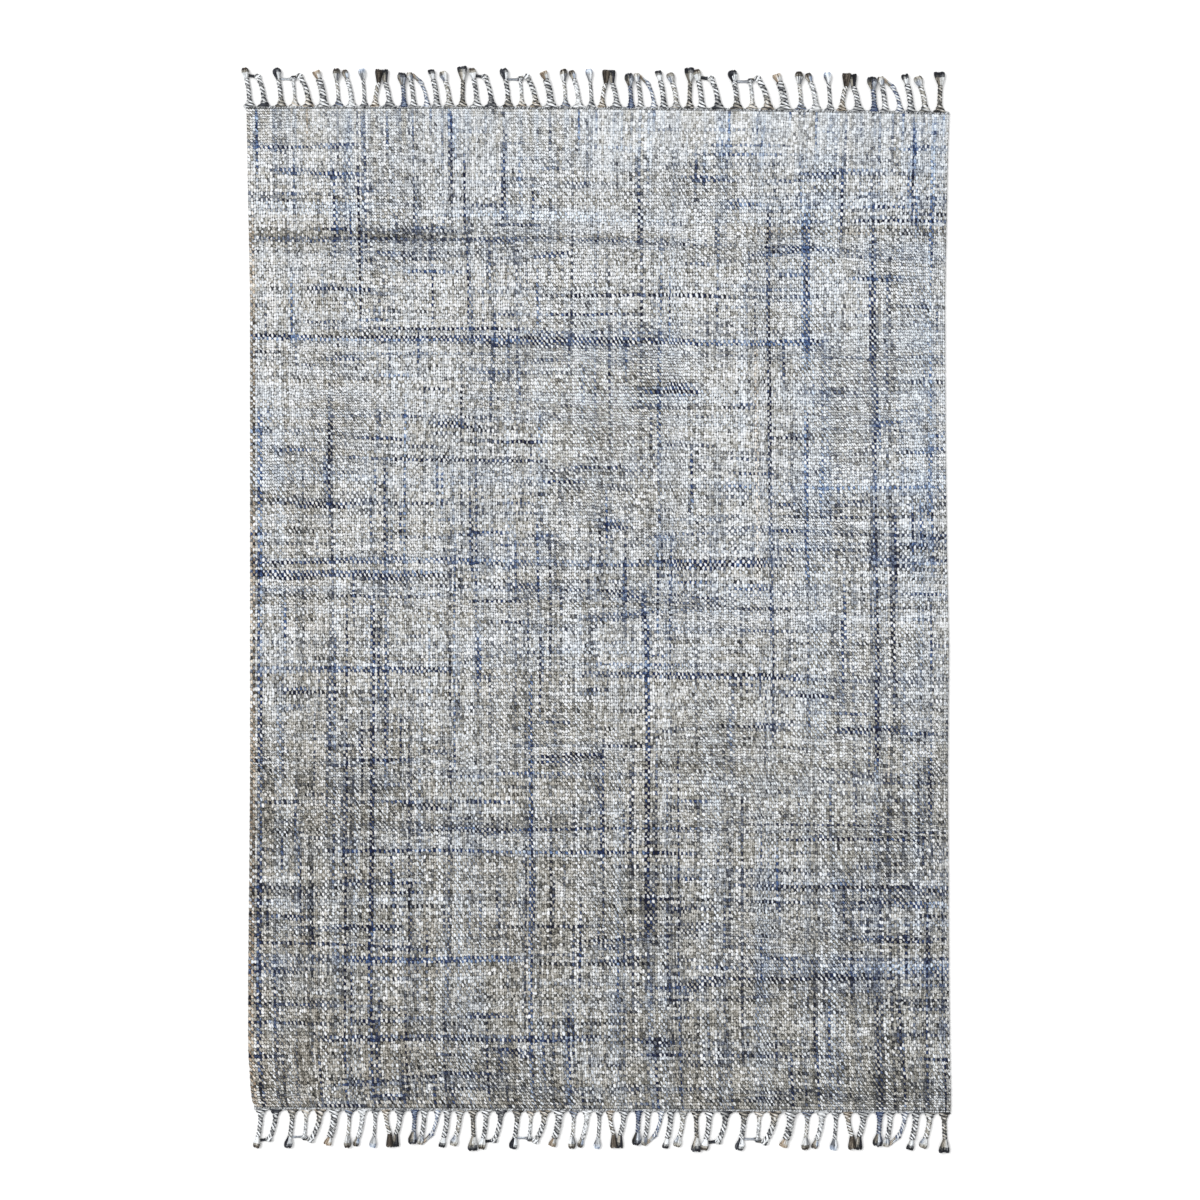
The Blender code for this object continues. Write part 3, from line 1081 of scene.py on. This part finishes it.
# %% Cords and their places
# root: where the cord leaves the cloth, from the start of the run. shaft: its width. tie,
# tip: where its binding and its cut end lie, as a lean to the right and a reach outwards.
# tuft: the width of the cut end. All are in millimetres.
Cord = namedtuple("Cord", "root shaft tie_lean tie_reach tip_lean tip_reach tuft")
CORDS = [
    Cord(0.0, 11.5, -6.7, 61, -11.0, 87, 17.0),
    Cord(34.0, 11.5, -15.0, 67, -37.0, 70, 9.0),
    Cord(72.5, 11.5, -6.4, 61, -11.0, 86, 20.0),
    Cord(104.0, 8.0, -4.8, 62, -33.0, 62, 6.5),
    Cord(136.0, 12.5, -21.0, 68, -40.0, 66, 8.0),
    Cord(170.0, 16.5, -10.6, 60, -17.5, 79, 20.0),
    Cord(204.0, 8.5, -4.0, 58, -4.5, 85, 17.5),
    Cord(234.5, 11.5, -11.0, 62, -17.5, 82, 14.5),
    Cord(263.5, 8.5, -3.4, 61, -6.2, 85, 16.5),
    Cord(288.0, 10.5, 8.5, 53, 9.5, 83, 18.0),
    Cord(321.0, 12.0, -9.5, 53, -10.5, 83, 15.5),
    Cord(354.5, 11.0, -2.5, 48, -5.7, 76, 21.5),
    Cord(376.5, 11.0, -6.4, 57, -9.6, 77, 15.0),
    Cord(407.0, 9.0, -15.0, 55, -33.0, 72, 10.0),
    Cord(429.5, 13.0, -7.8, 59, -13.3, 83, 17.0),
    Cord(458.5, 11.5, -9.2, 57, -16.0, 79, 18.5),
    Cord(488.5, 10.5, 1.5, 59, -1.0, 90, 25.0),
]
Repeat = namedtuple("Repeat", "start stretch")
End = namedtuple("End", "node outward column header_left header_right repeats")
FRINGES = [
    End("fringe_head", 1, "head", -812.0, 803.5,
        [Repeat(-801.0, 1.0), Repeat(-280.0, 1.0), Repeat(236.5, 1.117)]),
    End("fringe_foot", -1, "foot", -789.5, 806.5,
        [Repeat(-774.5, 0.995), Repeat(-258.0, 0.986), Repeat(254.0, 1.103)]),
]
print(len(CORDS) * 3 * len(FRINGES), "cords")

# %% [markdown]
# ## The cords' colours
#
# The cords are the same undyed and indigo yarns as the cloth, so a shade is the same two
# numbers: how light a yarn is and how blue, and below 0 it turns tan. A cord is pale with
# dark grooves between its plies, partly a darker yarn and partly painted shade, and its
# sides get painted shade too. A few start in another shade at the cloth, and every tuft
# has its own shade on each side and at the cut.

# %% Shades and the chart of the cords
SHADES = {
    "black": (0.04, 0.10),
    "charcoal": (0.13, 0.15),
    "brown": (0.22, -0.30),
    "navy": (0.26, 0.75),
    "blue": (0.42, 0.80),
    "sky": (0.80, 0.60),
    "grey": (0.55, 0.20),
    "silver": (0.88, 0.12),
    "white": (0.97, 0.20),
    "olive": (0.44, -0.12),
    "tan": (0.60, -0.55),
    "taupe": (0.58, -0.12),
    "lavender": (0.66, 0.35),
}

# one: the plies. two: the grooves, partly a darker yarn and partly painted shade, and
# part of the third ply. root: the shade at the cloth.
# tie: the binding. left, right: the sides of the tuft. cap: its cut end. form: its form.
Dyes = namedtuple("Dyes", "one two root tie left right cap form")
CORD_DYES = [
    Dyes("silver", "charcoal", "silver", "charcoal", "white", "silver", "brown", "ball"),
    Dyes("silver", "charcoal", "charcoal", "silver", "charcoal", "charcoal", "black", "link"),
    Dyes("silver", "charcoal", "brown", "charcoal", "charcoal", "white", "charcoal", "ball"),
    Dyes("silver", "grey", "tan", "grey", "lavender", "grey", "lavender", "link"),
    Dyes("silver", "charcoal", "tan", "silver", "charcoal", "olive", "charcoal", "link"),
    Dyes("silver", "charcoal", "silver", "black", "tan", "silver", "tan", "flare"),
    Dyes("silver", "olive", "navy", "taupe", "silver", "grey", "brown", "ball"),
    Dyes("silver", "grey", "silver", "charcoal", "taupe", "sky", "brown", "ball"),
    Dyes("silver", "charcoal", "grey", "navy", "grey", "white", "sky", "ball"),
    Dyes("silver", "brown", "tan", "charcoal", "brown", "brown", "brown", "brush"),
    Dyes("silver", "charcoal", "grey", "charcoal", "taupe", "charcoal", "black", "brush"),
    Dyes("grey", "navy", "navy", "blue", "olive", "lavender", "charcoal", "ball"),
    Dyes("silver", "charcoal", "silver", "grey", "silver", "lavender", "taupe", "ball"),
    Dyes("silver", "navy", "silver", "lavender", "taupe", "lavender", "tan", "link"),
    Dyes("silver", "charcoal", "grey", "charcoal", "silver", "white", "black", "flare"),
    Dyes("silver", "olive", "grey", "charcoal", "lavender", "silver", "taupe", "ball"),
    Dyes("taupe", "charcoal", "olive", "black", "taupe", "silver", "charcoal", "flare"),
]
print(len(SHADES), "shades,", len(CORD_DYES), "rows of dyes")

# %% [markdown]
# ## Turning the forms
#
# A twisted cord, a binding and a single yarn are one kind of form: a section, drawn up out
# of a disc with Extrude and turned a little at every step. A cord's disc is drawn in
# between its plies, so they show as ridges that wind around it. Each form is made once,
# standing one unit high. It is then copied for every cord and bent along its path, where
# the height of a point becomes its share of the way.

# %% Forms drawn out of a disc
Form = namedtuple("Form", "mesh points ply groove share off_middle map_uv")
SIDES_PER_PLY = 4
# How much of each ply's side takes the groove colour: partly a darker yarn, partly painted shade.
GROOVE_YARN_AND_SHADE_SHARES = (0.0, 1.0, 0.45, 0.0)
FLAT_NORMAL = 0.999
END_STRIP = 0.12
END_LINE = 0.05
END_MIDDLES = (0.25, 0.75)
END_ACROSS = 0.2
END_ALONG = 0.04


def turned_form(name, profile, sides, plies=0, groove_depth=0.0, turns=0.0):
    """A closed form. profile: height from 0 to 1 and radius of each section."""
    bm = bmesh.new()
    disc = bmesh.ops.create_circle(bm, cap_ends=True, segments=sides, radius=profile[0][1])
    for corner in disc["verts"]:
        angle = math.atan2(corner.co.y, corner.co.x)
        corner.co *= 1 - groove_depth * (0.5 - 0.5 * math.cos(plies * angle))
    first = bmesh.ops.extrude_face_region(bm, geom=bm.faces[:], use_keep_orig=True)
    face = [item for item in first["geom"] if isinstance(item, bmesh.types.BMFace)][0]
    for (height, radius), (next_height, next_radius) in zip(profile, profile[1:]):
        if height != profile[0][0]:
            face = bmesh.ops.extrude_discrete_faces(bm, faces=[face])["faces"][0]
        step = Matrix.Rotation(2 * math.pi * turns * (next_height - height), 3, "Z")
        bmesh.ops.rotate(bm, cent=(0, 0, 0), matrix=step, verts=face.verts)
        growth = next_radius / radius
        bmesh.ops.scale(bm, vec=(growth, growth, 1), verts=face.verts)
        bmesh.ops.translate(bm, vec=(0, 0, next_height - height), verts=face.verts)
    bmesh.ops.recalc_face_normals(bm, faces=bm.faces)
    for face in bm.faces:
        face.smooth = len(face.verts) == 4
    mesh = bpy.data.meshes.new(name)
    bm.to_mesh(mesh)
    bm.free()
    return read_form(mesh, sides, turns)


def read_form(mesh, sides, turns):
    """Notes where every face of a form lies around it and along it."""
    points = np.array([vertex.co for vertex in mesh.vertices])
    ply, groove, share, off_middle, map_uv = [], [], [], [], []
    for face in mesh.polygons:
        is_end = abs(face.normal.z) > FLAT_NORMAL
        x, y, height = face.center
        middle = math.atan2(y, x) - 2 * math.pi * turns * height
        side = math.floor(middle / (2 * math.pi) * sides) % sides
        ply.append((side + SIDES_PER_PLY // 2) % sides // SIDES_PER_PLY)
        groove.append(GROOVE_YARN_AND_SHADE_SHARES[side % SIDES_PER_PLY] if turns else 0.0)
        share.append(height)
        off_middle.append(abs(x) / max(math.hypot(x, y), 0.001))
        for index in face.vertices:
            x, y, z = mesh.vertices[index].co
            if is_end:
                end_middle = END_MIDDLES[height > 0.5]
                map_uv.append((end_middle + END_ACROSS * x, END_LINE + END_ALONG * y))
                continue
            around = math.atan2(y, x) - 2 * math.pi * turns * z - middle
            around = (around + math.pi) % (2 * math.pi) - math.pi
            map_uv.append(((side + 0.5) / sides + around / (2 * math.pi),
                           END_STRIP + (1 - END_STRIP) * z))
    return Form(mesh, points, np.array(ply), np.array(groove), np.array(share),
                np.array(off_middle), np.array(map_uv))


SHAFT_SECTIONS = 30
SHAFT_PROFILE = [(k / SHAFT_SECTIONS, 1.0) for k in range(SHAFT_SECTIONS + 1)]
KNOT_PROFILE = [(0.0, 0.5), (0.12, 0.8), (0.3, 1.0), (0.6, 1.0), (0.85, 0.82), (1.0, 0.5)]
END_PROFILE = [(0.0, 0.8), (0.2, 1.0), (0.4, 1.0), (0.6, 1.0), (0.8, 1.0), (0.92, 0.9), (1.0, 0.6)]
THREE_PLIES = {"sides": 3 * SIDES_PER_PLY, "plies": 3}
shaft_form = turned_form("shaft_form", SHAFT_PROFILE, groove_depth=0.30, turns=2.6, **THREE_PLIES)
knot_form = turned_form("knot_form", KNOT_PROFILE, groove_depth=0.22, turns=0.55, **THREE_PLIES)
end_form = turned_form("end_form", END_PROFILE, sides=5)
print("shaft", len(shaft_form.points), "points, yarn end", len(end_form.points), "points")

# %% [markdown]
# ## Lines for the cords to follow
#
# Every cord leaves the cloth square to its edge and leans over more and more, because it
# was pulled to one side while it was wet. Its root is wider than the rest, because the
# warp ends gather into it there, but never wider than the way to the next root.

# %% Lines and widths of the cords
Strand = namedtuple("Strand", "line width height one two root cap lighter")
LEAN_EASE = 2.2
ROOT_FLARE = 24.0 * MM
ROOT_REACH = 26.0 * MM
ROOT_CURVE = 3.2
ROOT_INSIDE = 3.0 * MM
CORD_HEIGHT = 0.75
CORD_STATIONS = 24


def end_line(x, end):
    """Y of the header's outer edge."""
    return end.outward * (RUG_LENGTH / 2 + from_table(ENDS, end.column, x))


def root_places(end):
    """Each cord of one end with its root's x, its root's width, its stretch and its dyes."""
    places = []
    for repeat in end.repeats:
        for cord, dyes in zip(CORDS, CORD_DYES):
            x = (repeat.start + cord.root * repeat.stretch) * MM
            places.append((x, cord, repeat.stretch, dyes))
    widened = []
    for index, (x, cord, stretch, dyes) in enumerate(places):
        beside = places[max(index - 1, 0):index] + places[index + 1:index + 2]
        gap = min(abs(x - other[0]) for other in beside)
        root_width = min(cord.shaft * stretch * MM + ROOT_FLARE, gap)
        widened.append((x, root_width, cord, stretch, dyes))
    return widened


def frame_point(x, y, z):
    return np.array([x + SLIDE_X, y + SLIDE_Y, z])


def shaft_strand(end, x, root_width, cord, stretch, dyes):
    """The twisted cord, from inside the header to its binding."""
    shaft = cord.shaft * stretch * MM
    edge = end_line(x, end)
    shares = np.linspace(0, 1, CORD_STATIONS)
    leans = cord.tie_lean * stretch * MM * shares ** LEAN_EASE
    reaches = -ROOT_INSIDE + (cord.tie_reach * MM + ROOT_INSIDE) * shares
    flare = np.clip(1 - reaches / ROOT_REACH, 0, 1) ** ROOT_CURVE
    widths = shaft + (root_width - shaft) * flare
    heights = np.full(CORD_STATIONS, CORD_HEIGHT * shaft)
    line = [frame_point(x + lean, edge + end.outward * reach, CORD_HEIGHT * shaft / 2)
            for lean, reach in zip(leans, reaches)]
    return Strand(np.array(line), widths, heights, dyes.one, dyes.two, dyes.root, dyes.one, 0.0)


root_widths = [place[1] / MM for end in FRINGES for place in root_places(end)]
print("roots", round(min(root_widths), 1), "to", round(max(root_widths), 1), "mm wide")

# %% [markdown]
# ## Bindings and the ends of the tufts
#
# A short binding, or a thick knot, closes each cord. Beyond it the yarn ends of the tuft
# stand in a ring around one thicker end in the middle. In a ball they bulge and close
# again. In a flare they spread all the way, from a narrow tie, and in a brush they are wide
# from the start. In a link they stay together, behind the thick knot. The ends differ in
# length and shade, and those at the sides get painted shade, as the round of a tuft would.

# %% Bindings and the ends of the tufts
TUFT_HEIGHT = 0.6
TUFT_HEIGHT_LIMIT = 12.0 * MM
TIE_LENGTH = 4.0 * MM
KNOT_LENGTH = 15.0 * MM
KNOT_WIDTH = 1.25
TUFT_ENDS = 15
TUFT_STATIONS = 8
TUFT_SEED = 23
END_THICKNESS = 0.32
# Painted shade on the yarn ends at the sides of a tuft.
TUFT_RIM_PAINTED_SHADE = 0.18
RIM_POWER = 4
END_TONES = 0.20
RING_JITTER = 0.2
SHORTEST_END = 0.90
LONGEST_END = 1.04
RING_FLATNESS = 0.6
LOWEST_END = 0.4
MIDDLE_END = 2.0
SIDES_MIXED = 0.4
SPREADS = {
    "ball": [(0.0, 0.50), (0.3, 0.70), (0.55, 1.0), (0.8, 1.05), (1.0, 0.7)],
    "flare": [(0.0, 0.38), (0.3, 0.60), (0.7, 0.88), (1.0, 1.0)],
    "brush": [(0.0, 0.55), (0.3, 0.70), (0.7, 0.95), (1.0, 1.1)],
    "link": [(0.0, 1.0), (0.5, 0.7), (1.0, 0.8)],
}


def tie_and_tip(end, x, cord, stretch):
    """Where a cord is bound and where it ends, both on the floor."""
    edge = end_line(x, end)
    tie = frame_point(x + cord.tie_lean * stretch * MM, edge + end.outward * cord.tie_reach * MM, 0)
    tip = frame_point(x + cord.tip_lean * stretch * MM, edge + end.outward * cord.tip_reach * MM, 0)
    return tie, tip


def binding_strand(tie, tip, shaft, dyes):
    """A short binding, or the thick knot of a link."""
    heading = (tip - tie) / np.linalg.norm(tip - tie)
    is_link = dyes.form == "link"
    half = (KNOT_LENGTH if is_link else TIE_LENGTH) / 2
    width = shaft * (KNOT_WIDTH if is_link else 1.0)
    line = np.array([tie - heading * half, tie + heading * half])
    line[:, 2] = CORD_HEIGHT * shaft / 2
    height = min(width, CORD_HEIGHT * shaft)
    widths = np.full(2, width)
    heights = np.full(2, height)
    return Strand(line, widths, heights, dyes.tie, dyes.two, dyes.tie, dyes.tie, 0.0)


def tuft_strands(end, tie, tip, tuft, dyes, rng):
    """The yarn ends of one tuft, in a ring round one in the middle."""
    heading = (tip - tie) / np.linalg.norm(tip - tie)
    across = np.array([heading[1], -heading[0], 0]) * end.outward
    half_height = min(TUFT_HEIGHT * tuft, TUFT_HEIGHT_LIMIT) / 2
    thickness = END_THICKNESS * tuft
    stations = np.linspace(0, 1, TUFT_STATIONS)
    spread = np.interp(stations, *zip(*SPREADS[dyes.form]))
    strands = []
    for number in range(TUFT_ENDS + 1):
        angle = 2 * math.pi * number / TUFT_ENDS + rng.uniform(-RING_JITTER, RING_JITTER)
        ring = 1.0 if number < TUFT_ENDS else 0.0
        length = rng.uniform(SHORTEST_END, LONGEST_END)
        side = math.cos(angle) * ring
        out = side * spread * (tuft - thickness) / 2
        up = half_height + math.sin(angle) * ring * spread * half_height * RING_FLATNESS
        line = tie + np.outer(stations * length, tip - tie) + np.outer(out, across)
        line[:, 2] = np.maximum(up, half_height * LOWEST_END)
        width = thickness * spread * (1.0 if ring else MIDDLE_END)
        height = np.minimum(width, 2 * line[:, 2])
        shade = dyes.left if side < rng.uniform(-SIDES_MIXED, SIDES_MIXED) else dyes.right
        # Each end gets a random tone, and those at the sides get painted shade
        lighter = rng.uniform(-END_TONES, END_TONES) - TUFT_RIM_PAINTED_SHADE * abs(side) ** RIM_POWER
        strands.append(Strand(line, width, height, shade, shade, shade, dyes.cap, lighter))
    return strands


print("binding", TIE_LENGTH / MM, "mm long, knot", KNOT_LENGTH / MM, "mm long")

# %% [markdown]
# ## The cords' own material
#
# It shares the ramps of the woven yarn. The map runs around and along each cord, so a
# noise stretched on it gives the fibres, and the numbers on each face give the shade.

# %% The cords' own material
FRINGE_FIBRE = 0.75
FRINGE_FIBRE_SCALE = 1.0
FRINGE_BUMP = 0.8


def fringe_yarn_material():
    material, tree, shader = yarn_shader("fringe_yarn_finish")
    fibre = fibre_noise(tree, yarn_map(tree), FRINGE_FIBRE_SCALE)
    level = plus(tree, number_attribute(tree, "tone"), times(tree, fibre, FRINGE_FIBRE))
    tree.links.new(yarn_colour(tree, level), shader.inputs["Base Color"])
    link_bump(tree, shader, fibre, FRINGE_BUMP)
    return material


fringe_yarn = fringe_yarn_material()
print("nodes in the cords' material:", len(fringe_yarn.node_tree.nodes))

# %% [markdown]
# ## Copying a form onto every strand
#
# One mesh holds all the copies of a form, because hundreds of objects would be slow to
# handle. Each copy is bent along its line: its own x becomes the way to the right of the
# line, its y the way up and its height the share of the way. Its two maps are the form's
# maps, moved to a cell of their own, so no two copies share a place on the bake map.

# %% Copy a form onto every strand
FIBRE_AROUND = 5.0
FIBRE_ALONG = 26.0
FIBRE_SHIFT = 7.3
CELL_MARGIN = 0.03
THIRD_PLY_MIX = 0.45
ROOT_TINT_FROM = 0.55
ROOT_TINT = 0.75
CAP_FROM, CAP_FULL = 0.55, 0.85
# Painted shade on the sides of each round cord, strongest at its outline.
OUTLINE_PAINTED_SHADE = 0.30
TWIST_MOTTLE = 0.20
TUFT_MOTTLE = 0.08
MOTTLE_SEED = 31


def strand_dye(form, strand, mottle, painted_outline_shade, rng):
    """Tone and blue of every face of one copy."""
    one, two, root, cap = (np.array(SHADES[name])
                           for name in (strand.one, strand.two, strand.root, strand.cap))
    dye = np.tile(one, (len(form.share), 1))
    dye[form.ply == 1] += (two - one) * THIRD_PLY_MIX
    root_part = ROOT_TINT * np.clip(1 - form.share / ROOT_TINT_FROM, 0, 1)[:, None]
    dye += (root - dye) * root_part
    # The grooves take the second shade: partly a darker yarn, partly painted shade
    dye += (two - dye) * form.groove[:, None]
    cap_part = np.clip((form.share - CAP_FROM) / (CAP_FULL - CAP_FROM), 0, 1)[:, None]
    dye += (cap - dye) * cap_part * (strand.cap != strand.one)
    dye[:, 0] += strand.lighter + mottle * rng.standard_normal(len(dye))
    # Painted shade on the sides of the round cord, strongest at the outline
    dye[:, 0] -= painted_outline_shade * form.off_middle ** RIM_POWER
    return dye


def lay_strands(name, form, strands, mottle=TWIST_MOTTLE, painted_outline_shade=OUTLINE_PAINTED_SHADE):
    """One piece made of a form's copies, each bent along its own strand."""
    bm = bmesh.new()
    for _ in strands:
        bm.from_mesh(form.mesh)
    piece = mesh_piece(name, bm, fringe_yarn)
    mesh = piece.data
    rng = np.random.default_rng(MOTTLE_SEED)
    placed, dyed, yarn_uv, bake_uv = [], [], [], []
    columns = math.ceil(math.sqrt(len(strands)))
    x, y, share = form.points.T
    for number, strand in enumerate(strands):
        along = np.linspace(0, 1, len(strand.line))
        centre = np.column_stack([np.interp(share, along, part) for part in strand.line.T])
        slope = np.gradient(strand.line[:, :2], along, axis=0)
        slope /= np.linalg.norm(slope, axis=1)[:, None]
        right = np.column_stack([np.interp(share, along, slope[:, 1]),
                                 -np.interp(share, along, slope[:, 0])])
        half_width = np.interp(share, along, strand.width) / 2
        half_height = np.interp(share, along, strand.height) / 2
        centre[:, :2] += right * (x * half_width)[:, None]
        centre[:, 2] += y * half_height
        placed.append(centre)
        dyed.append(strand_dye(form, strand, mottle, painted_outline_shade, rng))
        shift = (number * FIBRE_SHIFT, 0)
        yarn_uv.append(form.map_uv * (FIBRE_AROUND, FIBRE_ALONG) + shift)
        cell = np.array([number % columns, number // columns])
        in_cell = CELL_MARGIN + (1 - 2 * CELL_MARGIN) * form.map_uv
        bake_uv.append((cell + in_cell) / columns)
    for attribute, values in zip(("tone", "blue"), np.concatenate(dyed).T):
        write_numbers(mesh, attribute, "FACE", values)
    write_map(mesh, "yarn", np.concatenate(yarn_uv))
    write_map(mesh, "OFBake", np.concatenate(bake_uv))
    place_points(mesh, np.concatenate(placed))
    return piece


print("each copy has its own cell, with a margin of", round(CELL_MARGIN * 100), "% around it")

# %% [markdown]
# ## Header cords and the whole fringe
#
# A fine two-ply cord is worked along each end of the cloth and holds the last pick. It is
# the same turned form as the cords, only very long, and follows the end's own line. It is
# a little wider than the strip it closes, so it tucks under the edge of the cloth on one
# side and under the roots on the other.

# %% Lay the header cords and the fringe
HEADER_TURN = 12.0 * MM
HEADER_SECTION = 3.0 * MM
HEADER_GROOVE = 0.25
HEADER_WIDTH = 10.0 * MM
HEADER_HEIGHT = 7.6 * MM
HEADER_STATIONS = 60
HEADER_MOTTLE = 0.28
HEADER_LIGHTER = -0.03


def lay_header(end, word):
    """The twined cord that closes one end of the cloth, in one long strand."""
    left = end.header_left * MM
    right = end.header_right * MM
    length = right - left
    sections = int(length / HEADER_SECTION)
    profile = [(k / sections, 1.0) for k in range(sections + 1)]
    form = turned_form(word + "_header_form", profile, sides=2 * SIDES_PER_PLY, plies=2,
                       groove_depth=HEADER_GROOVE, turns=length / HEADER_TURN)
    line = [frame_point(x, end_line(x, end) - end.outward * HEADER_DEPTH / 2, HEADER_HEIGHT / 2)
            for x in np.linspace(left, right, HEADER_STATIONS)]
    widths = np.full(HEADER_STATIONS, HEADER_WIDTH)
    heights = np.full(HEADER_STATIONS, HEADER_HEIGHT)
    shades = ("silver", "grey", "silver", "silver")
    strand = Strand(np.array(line), widths, heights, *shades, HEADER_LIGHTER)
    return lay_strands(word + "_header", form, [strand], HEADER_MOTTLE, painted_outline_shade=0.0)


def lay_fringe(end):
    """The four pieces of one end: header, cords, bindings and tufts."""
    rng = np.random.default_rng(TUFT_SEED + end.outward)
    shafts, bindings, yarn_ends = [], [], []
    for x, root_width, cord, stretch, dyes in root_places(end):
        tie, tip = tie_and_tip(end, x, cord, stretch)
        shafts.append(shaft_strand(end, x, root_width, cord, stretch, dyes))
        bindings.append(binding_strand(tie, tip, cord.shaft * stretch * MM, dyes))
        yarn_ends += tuft_strands(end, tie, tip, cord.tuft * stretch * MM, dyes, rng)
    word = end.node.replace("fringe_", "")
    return [
        lay_header(end, word),
        lay_strands(word + "_cords", shaft_form, shafts),
        lay_strands(word + "_ties", knot_form, bindings),
        lay_strands(word + "_tufts", end_form, yarn_ends, TUFT_MOTTLE),
    ]


fringe_pieces = {end.node: lay_fringe(end) for end in FRINGES}
for piece in fringe_pieces["fringe_head"] + fringe_pieces["fringe_foot"]:
    print(piece.name, len(piece.data.polygons), "faces")

# %% [markdown]
# ## Attaching the pieces
#
# The frame has to know what each piece stands for. Every piece rides on the rug's one body,
# takes the place of its own solid and belongs to one of two materials.

for node, pieces in fringe_pieces.items():
    for piece in pieces:
        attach(piece, "root")
        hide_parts(node)
for number, band in enumerate(bands):
    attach(band, "root")
    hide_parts("woven_field")
fringe_count = sum(len(pieces) for pieces in fringe_pieces.values())
print("declared", len(bands), "bands of cloth and", fringe_count, "pieces of fringe")
